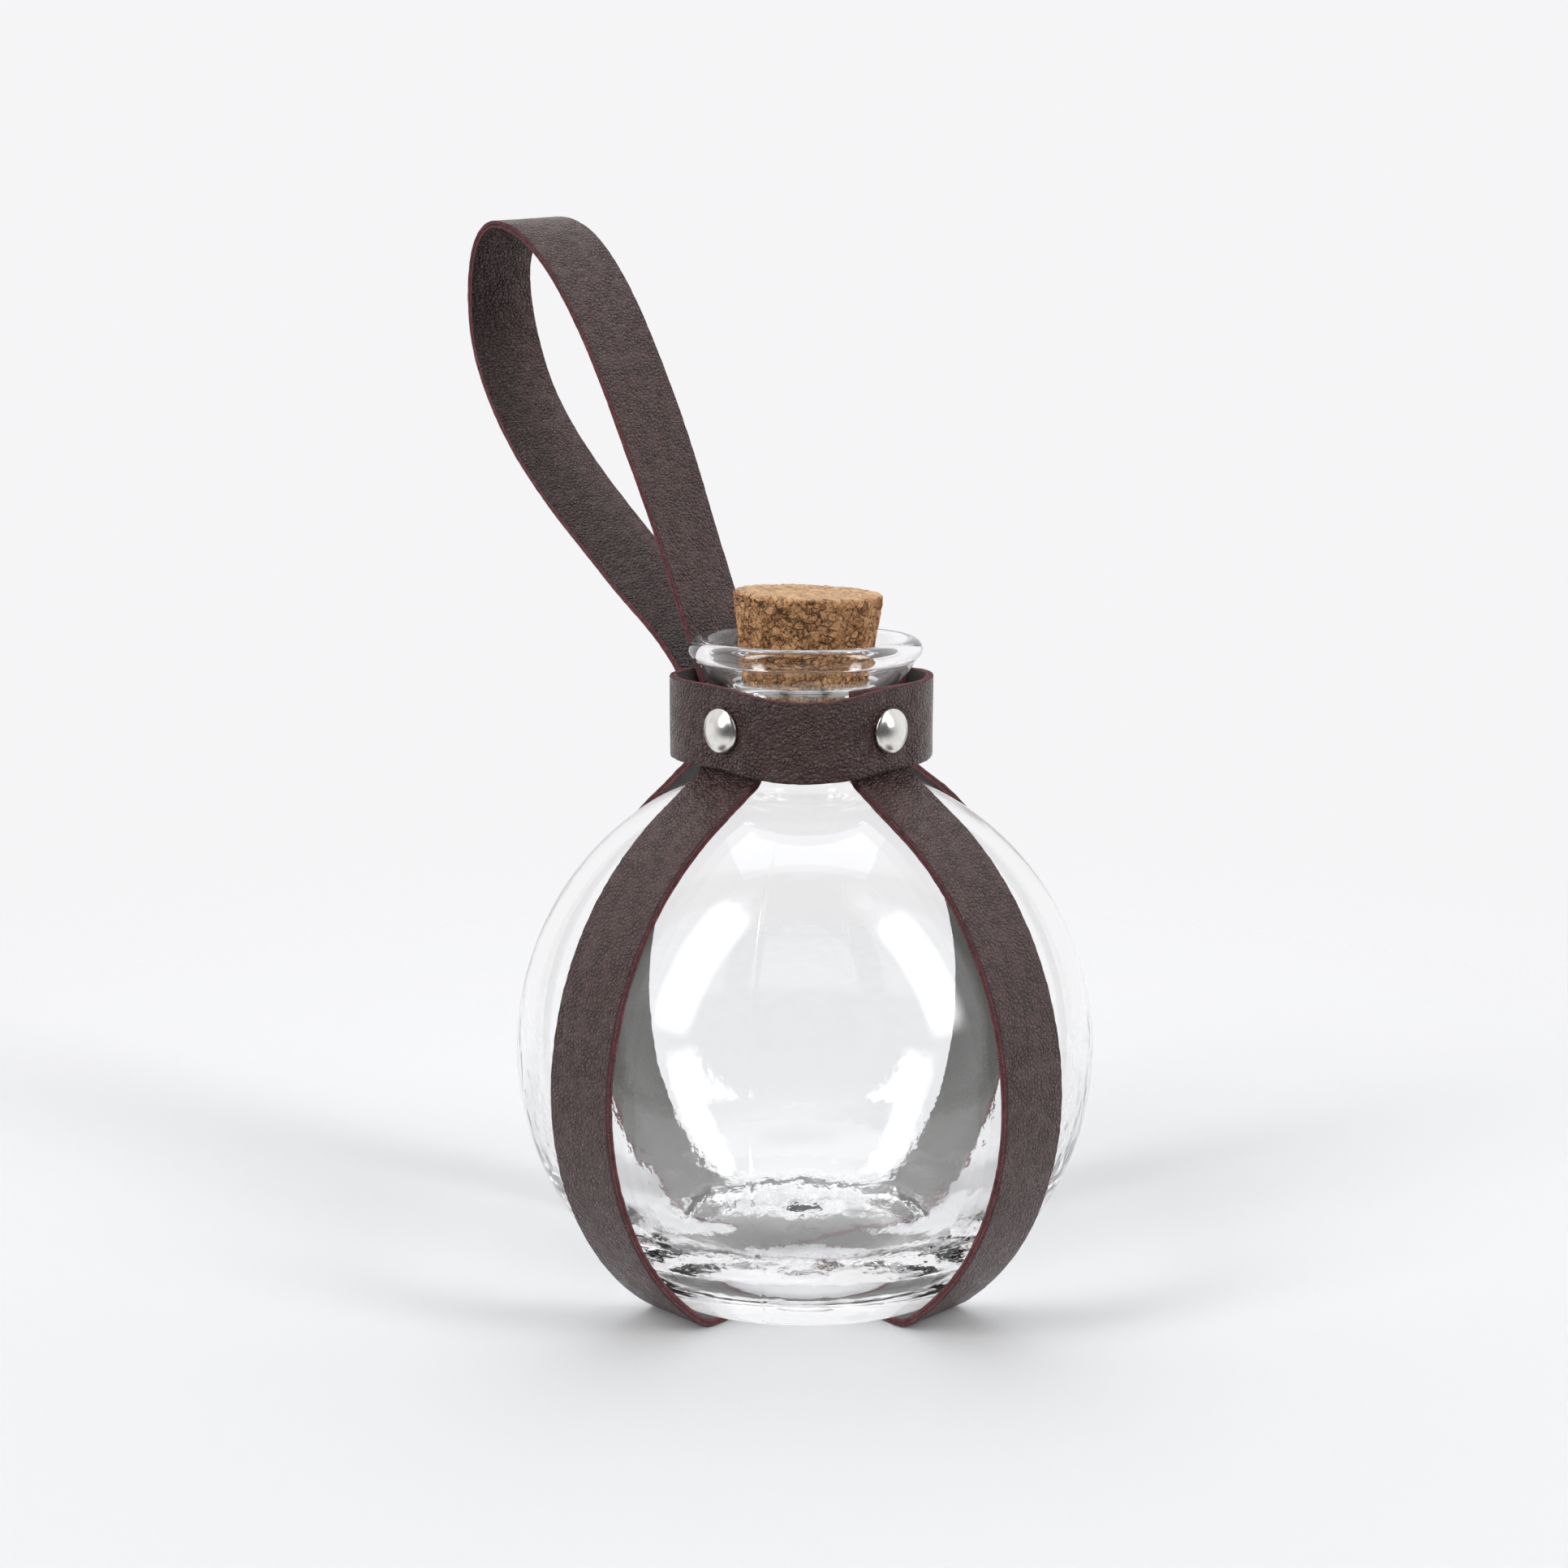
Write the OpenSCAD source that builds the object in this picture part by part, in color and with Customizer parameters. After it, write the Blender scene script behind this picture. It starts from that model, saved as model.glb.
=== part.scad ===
// Globe canteen: a clear glass ball bottle with a cork, held in a riveted leather harness.
// Millimetres. +Z is up the bottle's axis, z = 0 is the surface it stands on, and the
// handle is on the -X side. The straps cross under the base and rise at +X, -X, +Y and -Y.

/* [Bottle] */
// Outer diameter of the glass globe
globe_d = 108; // [88:1:132]
// Width of the flat where the globe is cut off to stand
cut_d = 64; // [50:1:72]
// Rounding of the outer edge of the base
heel_r = 5; // [3:0.5:7]
// Glass thickness round the globe
wall = 3; // [2:0.1:4]
// Thickness of the heavy glass floor where it is thinnest
floor_t = 8.5; // [6:0.5:12]
// Height of the dome in the middle of the inside floor
floor_rise = 3; // [1:0.5:5]
// Radius of the thick inside corner between wall and floor
corner_r = 28; // [20:1:30]
// Width of the hollow under the base
punt_d = 52; // [42:1:54]
// Depth of the hollow under the base
punt_h = 3.4; // [2.6:0.1:6]
// Outer diameter of the neck
neck_d = 30.6; // [26:0.1:37]
// Height of the lip above the top of the globe
neck_rise = 22.9; // [21:0.1:30]
// How far the rounded lip stands out from the neck
lip_flare = 6.2; // [5.6:0.1:7]
// Height of the rounded bead of the lip
bead_d = 3.7; // [3:0.1:5]
// How far the flared mouth stands in from the lip
bowl_step = 1.3; // [0.8:0.1:2]
// Height of the flared mouth under the lip
bowl_h = 4.9; // [4:0.1:6]
// Curve of the flared mouth's outer side
bowl_r = 9; // [6:0.5:14]
// Hollow rounding where the globe meets the neck
shoulder_r = 4; // [2:0.5:6]
// Depth from the lip down to where the cork first touches the glass
seat_drop = 8; // [6:0.5:10]

/* [Cork] */
// How much narrower the cork's top is than the outside of the neck
cork_in = 3.1; // [2.5:0.1:4]
// How much narrower the cork's lower end is than its top
cork_taper = 6.1; // [5:0.1:7]
// Length of the cork
cork_length = 24; // [20:0.5:30]
// Height of the cork above the lip
cork_stand = 8.4; // [6:0.1:12]
// Clearance between the cork and the glass
cork_gap = 0.1; // [0.05:0.05:0.2]
// Worn edge of the cork
cork_edge = 0.5; // [0.2:0.1:1]

/* [Leather] */
// Width of every strap
strap_w = 15; // [12:0.5:18]
// Thickness of every strap
strap_t = 1.5; // [1.2:0.1:1.8]
// Gap between leather and glass
glass_gap = 0.3; // [0.2:0.1:0.5]
// Gap between leather layers that are riveted together
layer_gap = 0.1; // [0.05:0.05:0.2]

/* [Collar] */
// Room between the neck and the legs inside the collar
leg_room = 2.6; // [2.2:0.1:3.4]
// Room between the neck and the handle's end inside the collar
handle_room = 3.4; // [3.2:0.1:4.5]
// Length of the collar's flat sides
collar_flat = 10.2; // [6:0.2:12]
// Height of the collar
collar_h = 15; // [13:0.5:20]
// Height of the collar's lower edge above the top of the globe
collar_lift = 0.9; // [0.5:0.1:3]
// Length of the ramp where the collar's end climbs over its start, in degrees of the corner
lap_ramp = 45; // [30:5:60]

/* [Cradle straps] */
// Bend of each leg where it leaves the collar
leg_bend_r = 3.5; // [2.5:0.1:4]
// Height above the collar's lower edge where each leg starts to bend out
leg_tuck = 0.5; // [0:0.1:0.8]
// Length of the step where one strap climbs over the other under the base
step_r = 5; // [3:0.5:8]
// How far the front leg's top is below the collar's top
front_drop = 0.5; // [0.1:0.1:5]
// How far the left leg's top is below the collar's top
left_drop = 3; // [0.1:0.1:4]
// How far the right leg's top is below the collar's top
right_drop = 1; // [0.1:0.1:4]
// How far the leg's top on the handle side is below the collar's top
handle_side_drop = 4.4; // [4.3:0.1:5]

/* [Rivets] */
// Diameter of the rivet caps
cap_d = 8.2; // [6:0.1:10]
// Height of the outer caps
cap_rise = 2.2; // [1.5:0.1:3]
// Diameter of the caps inside the collar
back_cap_d = 7.5; // [6:0.1:9]
// Height of the caps inside the collar
back_cap_rise = 0.9; // [0.6:0.1:1.2]
// Diameter of the rivet shanks
shank_d = 2.8; // [2:0.1:4]
// Clearance of the holes in the leather round the shanks
hole_gap = 0.1; // [0.05:0.05:0.3]
// How far the rivets are below the middle of the collar
rivet_drop = 0.5; // [0:0.1:1]

/* [Handle] */
// Height of the loop above the collar
handle_rise = 84; // [60:0.5:110]
// How far the loop leans out beyond the collar
handle_reach = 64; // [40:0.5:80]
// How far the loop's highest point is inside its outermost point
crown_in = 8.5; // [7:0.5:16]
// How far the loop's outermost point is below its highest point
crown_drop = 12; // [8:0.1:18]
// Lean of the inner strand where it leaves the collar
inner_lean = 24; // [20:1:30]
// Lean of the outer strand where it leaves the collar
outer_lean = 38; // [30:1:45]
// Length of the handle's ends below the rivet
end_below = 5; // [4.5:0.5:6.5]
// Stretch of each strand that flexes above the collar
flex_gap = 3; // [2.5:0.1:5]

/* [Hidden] */
$fn = 64;

leather = [0.26, 0.20, 0.19];
nickel = [0.78, 0.78, 0.76];

// Heights of the bottle, from the floor up
base_z = strap_t + glass_gap;
globe_r = globe_d / 2;
globe_z = base_z + sqrt(globe_r * globe_r - cut_d * cut_d / 4);
globe_top = globe_z + globe_r;
lip_z = globe_top + neck_rise;
bead_r = bead_d / 2;
lip_d = neck_d + 2 * lip_flare;
bowl_top_r = lip_d / 2 - bowl_step;
bowl_z = lip_z - bead_d - bowl_h;
seat_z = lip_z - seat_drop;

// The heel's rounding touches the globe from inside
heel_z = base_z + heel_r;
heel_x = sqrt(pow(globe_r - heel_r, 2) - pow(globe_z - heel_z, 2));
heel_angle = atan2(globe_z - heel_z, heel_x);

// Cork heights and its radius at any height
cork_top_d = neck_d - cork_in;
cork_bottom_d = cork_top_d - cork_taper;
cork_top = lip_z + cork_stand;
cork_base = cork_top - cork_length;
function cork_r(z) = (cork_bottom_d + (cork_top_d - cork_bottom_d) * (z - cork_base) / cork_length) / 2;

// The collar's corners are round, and a leg's edges reach past the flat side into them, so the
// leg stands in from the flat side by the corners' sag there.
leg_face = neck_d / 2 + leg_room;
corner_reach = max(strap_w / 2 - collar_flat / 2, 0);
collar_inner_r = norm([leg_face + strap_t + layer_gap - collar_flat / 2, corner_reach]);
corner_sag = collar_inner_r - sqrt(collar_inner_r * collar_inner_r - corner_reach * corner_reach);
collar_corner_r = collar_inner_r + strap_t;

// Collar and rivets. The handle's end inside the collar pushes the collar's back side out.
collar_z = globe_top + collar_lift;
collar_top = collar_z + collar_h;
collar_side = collar_flat / 2 + collar_corner_r;
collar_back = neck_d / 2 + handle_room + 3 * strap_t + 2 * layer_gap + corner_sag;
rivet_z = collar_z + collar_h / 2 - rivet_drop;
lap_gap = 0.05;
lap_out = strap_t + lap_gap;
hole_d = shank_d + 2 * hole_gap;

// Distances of each leather layer's middle from the bottle's axis
leg_inset = strap_t + corner_sag + layer_gap + strap_t / 2;
leg_side = collar_side - leg_inset;
leg_back = collar_back - leg_inset;
inner_end = leg_back - strap_t - layer_gap;
outer_end = collar_back + strap_t / 2;

// Globe of the straps' middle line, and the straight run from the collar that touches it
strap_globe_r = globe_r + glass_gap + strap_t / 2;
strap_heel_r = heel_r + glass_gap + strap_t / 2;
bend_z = collar_z + leg_tuck;
function touch_angle(u) =
    let (across = u + leg_bend_r, up = bend_z - globe_z)
    atan2(across, up) + acos((strap_globe_r + leg_bend_r) / norm([across, up]));

// Points along an arc, about a centre, from one angle to another
function arc(centre, r, from, to, steps) =
    [for (i = [0:steps]) let (a = from + (to - from) * i / steps) centre + r * [cos(a), sin(a)]];

// Centre of the arc of radius r from p to q that bulges to the right of the way
function arc_centre(p, q, r) =
    let (d = q - p, half = norm(d) / 2, side = [-d[1], d[0]] / norm(d))
    (p + q) / 2 + side * sqrt(r * r - half * half);

function bulge_arc(p, q, r, steps) =
    let (c = arc_centre(p, q, r), a = atan2(p[1] - c[1], p[0] - c[0]), b = atan2(q[1] - c[1], q[0] - c[0]))
    arc(c, r, a, b, steps);

// Points along a cubic curve with two end points and two control points
function curve(a, b, c, d, steps) =
    [for (i = [0:steps]) let (t = i / steps, s = 1 - t)
        s * s * s * a + 3 * s * s * t * b + 3 * s * t * t * c + t * t * t * d];

// Drops points that repeat the one before
function tidy(p) = [for (i = [0:len(p) - 1]) if (i == 0 || norm(p[i] - p[i - 1]) > 0.02) p[i]];
function backwards(p) = [for (i = [len(p) - 1:-1:0]) p[i]];
function mirrored(p) = [for (q = p) [-q[0], q[1]]];

// A line moved sideways to its left by d, and a closed band between two such lines
function heading(p, i) =
    let (v = p[min(i + 1, len(p) - 1)] - p[max(i - 1, 0)]) v / norm(v);
function shifted(p, d) =
    [for (i = [0:len(p) - 1]) let (h = heading(p, i)) p[i] + d * [-h[1], h[0]]];
function band(p, left, right) = concat(shifted(p, left), backwards(shifted(p, right)));

// ---- Bottle ----

function outer_glass() =
    let (
        shoulder = [neck_d / 2 + shoulder_r, 0],
        shoulder_z = globe_z + sqrt(pow(globe_r + shoulder_r, 2) - pow(shoulder[0], 2)),
        shoulder_angle = atan2(shoulder_z - globe_z, shoulder[0]),
        bead = [lip_d / 2 - bead_r, lip_z - bead_r],
        bead_in = acos((bowl_top_r - bead[0]) / bead_r)
    )
    concat(
        arc([heel_x, heel_z], heel_r, -90, -heel_angle, 8),
        arc([0, globe_z], globe_r, -heel_angle, shoulder_angle, 30),
        arc([shoulder[0], shoulder_z], shoulder_r, 180 + shoulder_angle, 180, 6),
        bulge_arc([neck_d / 2, bowl_z], [bowl_top_r, lip_z - bead_d], bowl_r, 6),
        arc(bead, bead_r, -bead_in, 180, 16)
    );

function inner_glass() =
    let (
        inner_r = globe_r - wall,
        throat_r = cork_r(cork_base) + cork_gap,
        round = 2 * wall,
        edge_z = globe_z + sqrt(pow(inner_r + round, 2) - pow(throat_r + round, 2)),
        edge_angle = atan2(edge_z - globe_z, throat_r + round),
        floor_z = base_z + floor_t,
        corner_up = globe_z - floor_z - corner_r,
        corner_x = sqrt(pow(inner_r - corner_r, 2) - corner_up * corner_up),
        dome_r = (corner_x * corner_x + floor_rise * floor_rise) / (2 * floor_rise),
        dome_half = asin(corner_x / dome_r)
    )
    concat(
        backwards(bulge_arc([cork_r(seat_z) + cork_gap, seat_z],
                            [lip_d / 2 - bead_d, lip_z - bead_r - 0.5], bowl_r - 2, 6)),
        [[throat_r, cork_base]],
        arc([throat_r + round, edge_z], round, 180, 180 + edge_angle, 6),
        arc([0, globe_z], inner_r, edge_angle, -atan2(corner_up, corner_x), 24),
        arc([corner_x, floor_z + corner_r], corner_r, -atan2(corner_up, corner_x), -90, 10),
        arc([0, floor_z + floor_rise - dome_r], dome_r, 90 - dome_half, 90, 5)
    );

function punt() =
    let (half = punt_d / 2, r = (half * half + punt_h * punt_h) / (2 * punt_h), a = asin(half / r))
    arc([0, base_z + punt_h - r], r, 90, 90 - a, 6);

module glass_bottle() {
    color([0.88, 0.93, 0.93, 0.4])
        rotate_extrude($fn = 96)
            polygon(tidy(concat(punt(), outer_glass(), inner_glass())));
}

// ---- Cork ----

module cork_stopper() {
    color([0.72, 0.52, 0.34])
        rotate_extrude()
            polygon([
                [0, cork_base],
                [cork_r(cork_base) - cork_edge, cork_base],
                [cork_r(cork_base + cork_edge), cork_base + cork_edge],
                [cork_r(cork_top - cork_edge), cork_top - cork_edge],
                [cork_r(cork_top) - cork_edge, cork_top],
                [0, cork_top]
            ]);
}

// ---- Collar ----

// One quarter of the collar's middle line, about the corner's centre, moved out by up to lift
function collar_corner(side_x, side_y, from, lift = 0) =
    let (r = collar_corner_r - strap_t / 2,
         c = [side_x - sign(side_x) * collar_corner_r, side_y - sign(side_y) * collar_corner_r])
    [for (a = [0:5:90]) let (climb = min(max((a - 35) / lap_ramp, 0), 1))
        c + (r + lift * climb * climb * (3 - 2 * climb)) * [cos(from + a), sin(from + a)]];

// The strip starts under the right rivet, runs round and ends lapped over its own start
function collar_line() =
    let (s = collar_side, y = s - strap_t / 2, start = s - collar_corner_r)
    tidy(concat(
        [[start, y]],
        collar_corner(-collar_back, s, 90),
        collar_corner(-collar_back, -s, 180),
        collar_corner(s, -s, 270),
        collar_corner(s, s, 0, lap_out),
        [[-strap_w / 2, y + lap_out]]
    ));

module collar_strap() {
    color(leather)
        difference() {
            translate([0, 0, collar_z])
                linear_extrude(collar_h)
                    polygon(band(collar_line(), strap_t / 2, -strap_t / 2));
            rivet_holes();
        }
}

// ---- Rivets ----

// Places its children on the rivet's axis, pointing away from the bottle
module at_rivet(azimuth, distance) {
    rotate([0, 0, azimuth])
        translate([distance, 0, rivet_z])
            rotate([0, 90, 0])
                children();
}

module rivet_holes() {
    for (azimuth = [0:90:270])
        at_rivet(azimuth, collar_side / 2)
            cylinder(h = collar_back, d = hole_d);
}

socket_depth = 0.6 * cap_rise;

module rivet_cap(azimuth, seat) {
    rim = 0.4;
    dome_r = (cap_d * cap_d / 4 + pow(cap_rise - rim, 2)) / (2 * (cap_rise - rim));
    dome_half = asin(cap_d / 2 / dome_r);
    color(nickel)
        at_rivet(azimuth, seat)
            rotate_extrude()
                polygon(concat(
                    [[shank_d / 2, 0], [cap_d / 2 - rim / 2, 0], [cap_d / 2, rim / 2]],
                    arc([0, cap_rise - dome_r], dome_r, 90 - dome_half, 90, 10),
                    [[0, socket_depth], [shank_d / 2, socket_depth]]
                ));
}

module rivet_post(azimuth, inside, seat) {
    grip = seat - inside;
    color(nickel)
        at_rivet(azimuth, inside)
            rotate_extrude()
                polygon([
                    [0, -back_cap_rise],
                    [back_cap_d / 4, -back_cap_rise],
                    [back_cap_d / 2, -back_cap_rise / 3],
                    [back_cap_d / 2, 0],
                    [shank_d / 2, 0],
                    [shank_d / 2, grip + socket_depth],
                    [0, grip + socket_depth]
                ]);
}

side_inside = leg_side - strap_t / 2;
handle_inside = inner_end - strap_t / 2;
handle_seat = outer_end + strap_t / 2;

module rivet_cap_front() { rivet_cap(0, collar_side); }
module rivet_cap_left() { rivet_cap(270, collar_side); }
module rivet_cap_right() { rivet_cap(90, collar_side + lap_out); }
module rivet_cap_handle_side() { rivet_cap(180, handle_seat); }
module rivet_post_front() { rivet_post(0, side_inside, collar_side); }
module rivet_post_left() { rivet_post(270, side_inside, collar_side); }
module rivet_post_right() { rivet_post(90, side_inside, collar_side + lap_out); }
module rivet_post_handle_side() { rivet_post(180, handle_inside, handle_seat); }

// ---- Cradle straps ----

// Middle line of one leg from its top inside the collar down to the middle of the base,
// as distance from the axis and height. lift raises the middle over the other strap.
function leg_line(u, drop, lift) =
    let (
        touch = touch_angle(u),
        z = strap_t / 2,
        climb = lift > 0 ? acos(1 - lift / (2 * step_r)) : 0,
        inner_x = strap_w / 2 + 1,
        outer_x = inner_x + 2 * step_r * sin(climb)
    )
    concat(
        [[u, collar_top - drop]],
        arc([u + leg_bend_r, bend_z], leg_bend_r, 180, 270 - touch, 6),
        arc([0, globe_z], strap_globe_r, 90 - touch, -heel_angle, 26),
        arc([heel_x, heel_z], strap_heel_r, -heel_angle, -90, 8),
        lift > 0
            ? concat(arc([outer_x, z + step_r], step_r, -90, -90 - climb, 4),
                     arc([inner_x, z + lift - step_r], step_r, 90 - climb, 90, 4))
            : [],
        [[0, z + lift]]
    );

module cradle_strap(line) {
    translate([0, strap_w / 2, 0])
        rotate([90, 0, 0])
            linear_extrude(strap_w)
                polygon(band(tidy(line), strap_t / 2, -strap_t / 2));
}

module cradle_strap_lower() {
    color(leather)
        difference() {
            cradle_strap(concat(leg_line(leg_side, front_drop, 0),
                                backwards(mirrored(leg_line(leg_back, handle_side_drop, 0)))));
            rivet_holes();
        }
}

module cradle_strap_upper() {
    color(leather)
        difference() {
            rotate([0, 0, 90])
                cradle_strap(concat(leg_line(leg_side, right_drop, strap_t),
                                    backwards(mirrored(leg_line(leg_side, left_drop, strap_t)))));
            rivet_holes();
        }
}

// ---- Handle ----

// Middle line of the handle in the XZ plane: up from the end inside the collar, round the
// loop and down to the end outside the collar. The two ends bend just above the rivet's cap.
clamp_z = rivet_z + cap_d / 2 - 0.5;
inner_bend_r = 5;
outer_bend_r = 3;
crown = [-(collar_back + handle_reach - crown_in), collar_top + handle_rise];
outermost = [-(collar_back + handle_reach), crown[1] - crown_drop];

function lean(angle) = [-sin(angle), cos(angle)];
function inner_bend() = arc([-inner_end - inner_bend_r, clamp_z], inner_bend_r, 0, inner_lean, 4);
function outer_bend() = arc([-outer_end - outer_bend_r, clamp_z], outer_bend_r, 0, outer_lean, 4);
inner_root = inner_bend()[4];
outer_root = outer_bend()[4];

inner_strand = curve(inner_root, inner_root + 0.69 * handle_rise * lean(inner_lean),
                     crown + [2.3 * crown_in, 0], crown, 28);
crown_turn = curve(crown, crown - [0.67 * crown_in, 0],
                   outermost + [0, 0.52 * crown_drop], outermost, 10);
outer_strand = curve(outermost, outermost - [0, 2.9 * crown_drop],
                     outer_root + 0.47 * handle_reach * lean(outer_lean), outer_root, 20);

// The loop leaves out the flexing stretches next to both ends
function far_from(p, a, b, gap) = [for (q = p) if (norm(q - a) > gap && norm(q - b) > gap) q];
loop_line = far_from(tidy(concat(inner_strand, crown_turn, outer_strand)),
                     inner_root, outer_root, flex_gap);
inner_end_line = tidy(concat([[-inner_end, rivet_z - end_below]], inner_bend()));
outer_end_line = tidy(concat([[-outer_end, rivet_z - end_below]], outer_bend()));

module strap_ply(line, left, right) {
    color(leather)
        difference() {
            translate([0, strap_w / 2, 0])
                rotate([90, 0, 0])
                    linear_extrude(strap_w)
                        polygon(band(line, left, right));
            rivet_holes();
        }
}

// Along the loop from the inside end, the face layer is on the right
module handle_face_layer() { strap_ply(loop_line, 0, -strap_t / 2); }
module handle_lining_layer() { strap_ply(loop_line, strap_t / 2, 0); }
module handle_inner_end_face() { strap_ply(inner_end_line, 0, -strap_t / 2); }
module handle_inner_end_lining() { strap_ply(inner_end_line, strap_t / 2, 0); }
module handle_outer_end_face() { strap_ply(outer_end_line, strap_t / 2, 0); }
module handle_outer_end_lining() { strap_ply(outer_end_line, 0, -strap_t / 2); }

glass_bottle();
cork_stopper();
collar_strap();
cradle_strap_lower();
cradle_strap_upper();
handle_face_layer();
handle_lining_layer();
handle_outer_end_face();
handle_outer_end_lining();
handle_inner_end_face();
handle_inner_end_lining();
rivet_cap_front();
rivet_cap_left();
rivet_cap_right();
rivet_cap_handle_side();
rivet_post_front();
rivet_post_left();
rivet_post_right();
rivet_post_handle_side();
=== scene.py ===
"""Globe canteen: a clear glass ball bottle with a cork, in a riveted leather harness."""

import math

import bmesh
import bpy
from mathutils import Matrix, Vector, noise
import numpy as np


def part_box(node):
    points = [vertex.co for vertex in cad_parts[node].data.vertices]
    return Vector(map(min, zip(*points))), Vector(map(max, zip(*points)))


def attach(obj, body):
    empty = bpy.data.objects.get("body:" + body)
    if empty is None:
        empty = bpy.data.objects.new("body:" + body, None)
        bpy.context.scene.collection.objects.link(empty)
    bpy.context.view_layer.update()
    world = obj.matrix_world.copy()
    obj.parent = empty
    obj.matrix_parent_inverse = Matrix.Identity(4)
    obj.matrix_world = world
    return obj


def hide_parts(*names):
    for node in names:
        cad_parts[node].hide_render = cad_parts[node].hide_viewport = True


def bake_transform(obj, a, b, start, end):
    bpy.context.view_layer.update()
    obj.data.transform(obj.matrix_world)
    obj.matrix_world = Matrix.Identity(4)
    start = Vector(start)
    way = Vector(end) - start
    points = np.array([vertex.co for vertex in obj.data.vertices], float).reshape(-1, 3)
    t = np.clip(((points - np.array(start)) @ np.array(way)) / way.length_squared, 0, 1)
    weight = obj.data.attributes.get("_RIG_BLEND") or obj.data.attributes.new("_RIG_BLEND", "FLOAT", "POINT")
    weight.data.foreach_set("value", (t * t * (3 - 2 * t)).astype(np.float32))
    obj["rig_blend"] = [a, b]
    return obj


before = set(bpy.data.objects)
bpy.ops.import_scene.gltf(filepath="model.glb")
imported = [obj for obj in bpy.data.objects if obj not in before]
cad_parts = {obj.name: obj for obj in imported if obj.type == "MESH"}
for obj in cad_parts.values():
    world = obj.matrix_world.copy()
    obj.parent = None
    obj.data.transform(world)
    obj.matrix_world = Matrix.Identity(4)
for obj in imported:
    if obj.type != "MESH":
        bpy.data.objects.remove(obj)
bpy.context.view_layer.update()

bl_info = {
    "name": "Globe canteen",
    "version": (1, 0, 0),
    "blender": (4, 5, 0),
    "location": "3D View > Sidebar > Canteen",
    "description": "Builds a globe bottle in a leather harness round its CAD frame",
    "category": "Object",
}

# Meshes are shaped in millimetres and scaled to metres when they are finished
MM = 0.001


def box_mm(node):
    """Lowest and highest corner of a CAD node, in millimetres."""
    low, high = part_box(node)
    return low / MM, high / MM


# Heights and distances that every piece shares, from the CAD frame
GLASS_LOW, GLASS_HIGH = box_mm("glass_bottle")
COLLAR_LOW, COLLAR_HIGH = box_mm("collar_strap")
CAP_LOW, CAP_HIGH = box_mm("rivet_cap_front")
CORK_LOW, CORK_HIGH = box_mm("cork_stopper")

BASE_Z = GLASS_LOW.z
LIP_Z = GLASS_HIGH.z
GLOBE_R = GLASS_HIGH.x
# Radius of the globe's flat cut where the base would start without its rounded heel
CUT_R = 32.0
GLOBE_Z = BASE_Z + math.sqrt(GLOBE_R**2 - CUT_R**2)
HEEL_R = 5.0
HEEL_Z = BASE_Z + HEEL_R
HEEL_X = math.sqrt((GLOBE_R - HEEL_R) ** 2 - (GLOBE_Z - HEEL_Z) ** 2)
HEEL_TURN = math.degrees(math.atan2(GLOBE_Z - HEEL_Z, HEEL_X))
# The cork's two ends differ this much in diameter
CORK_TAPER = 6.1
COLLAR_Z = COLLAR_LOW.z
COLLAR_TOP = COLLAR_HIGH.z
COLLAR_SIDE = COLLAR_HIGH.x
COLLAR_BACK = -COLLAR_LOW.x
COLLAR_FLAT = 10.2
COLLAR_CORNER = COLLAR_SIDE - COLLAR_FLAT / 2
RIVET_Z = (CAP_LOW.z + CAP_HIGH.z) / 2
CAP_R = (CAP_HIGH.z - CAP_LOW.z) / 2
CAP_RISE = CAP_HIGH.x - CAP_LOW.x
STRAP_T = 1.5
STRAP_W = 15.0
GLASS_GAP = 0.3
LAYER_GAP = 0.1
LAP_OUT = STRAP_T + 0.05
CORNER_SAG = 0.1986
LEG_INSET = STRAP_T + CORNER_SAG + LAYER_GAP + STRAP_T / 2
LEG_SIDE = COLLAR_SIDE - LEG_INSET
LEG_BACK = COLLAR_BACK - LEG_INSET
INNER_END = LEG_BACK - STRAP_T - LAYER_GAP
OUTER_END = COLLAR_BACK + STRAP_T / 2
SHANK_R = 1.4
# Height of the rivets' inner caps
POST_RISE = 0.9
# Distance between the sections of a swept strap
STRAP_STEP = 0.9
# How far the handle's ends reach below the rivets
END_REACH = 5.0


# ---- Lines ----


def arc(centre, radius, start, stop, step=0.4):
    """Points along an arc, angles in degrees, about one every step millimetres."""
    count = max(4, int(abs(math.radians(stop - start)) * radius / step))
    turns = (math.radians(start + (stop - start) * i / count) for i in range(count + 1))
    return [Vector((centre[0] + radius * math.cos(a), centre[1] + radius * math.sin(a))) for a in turns]


def bulge_arc(p, q, radius):
    """An arc from p to q that bulges to the right of the way."""
    p, q = Vector(p), Vector(q)
    way = q - p
    half = way.length / 2
    side = Vector((-way.y, way.x)).normalized()
    centre = (p + q) / 2 + side * math.sqrt(radius**2 - half**2)
    start = math.degrees(math.atan2(p.y - centre.y, p.x - centre.x))
    stop = math.degrees(math.atan2(q.y - centre.y, q.x - centre.x))
    return arc(centre, radius, start, stop)


def cubic(a, b, c, d, count=160):
    """Points along a cubic curve with end points a and d and control points b and c."""
    points = []
    for i in range(count + 1):
        t = i / count
        s = 1 - t
        points.append(s**3 * a + 3 * s * s * t * b + 3 * s * t * t * c + t**3 * d)
    return points


def evenly(points, step):
    """The same line with points about step apart, whatever their number was."""
    lengths = [0.0]
    for p, q in zip(points, points[1:]):
        lengths.append(lengths[-1] + (q - p).length)
    count = max(2, round(lengths[-1] / step))
    line, k = [], 0
    for i in range(count + 1):
        goal = lengths[-1] * i / count
        while k < len(points) - 2 and lengths[k + 1] < goal:
            k += 1
        span = max(lengths[k + 1] - lengths[k], 1e-9)
        line.append(points[k].lerp(points[k + 1], (goal - lengths[k]) / span))
    return line


def smooth_step(x):
    """0 below 0, 1 above 1, with soft ends."""
    x = min(max(x, 0.0), 1.0)
    return x * x * (3 - 2 * x)


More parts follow.
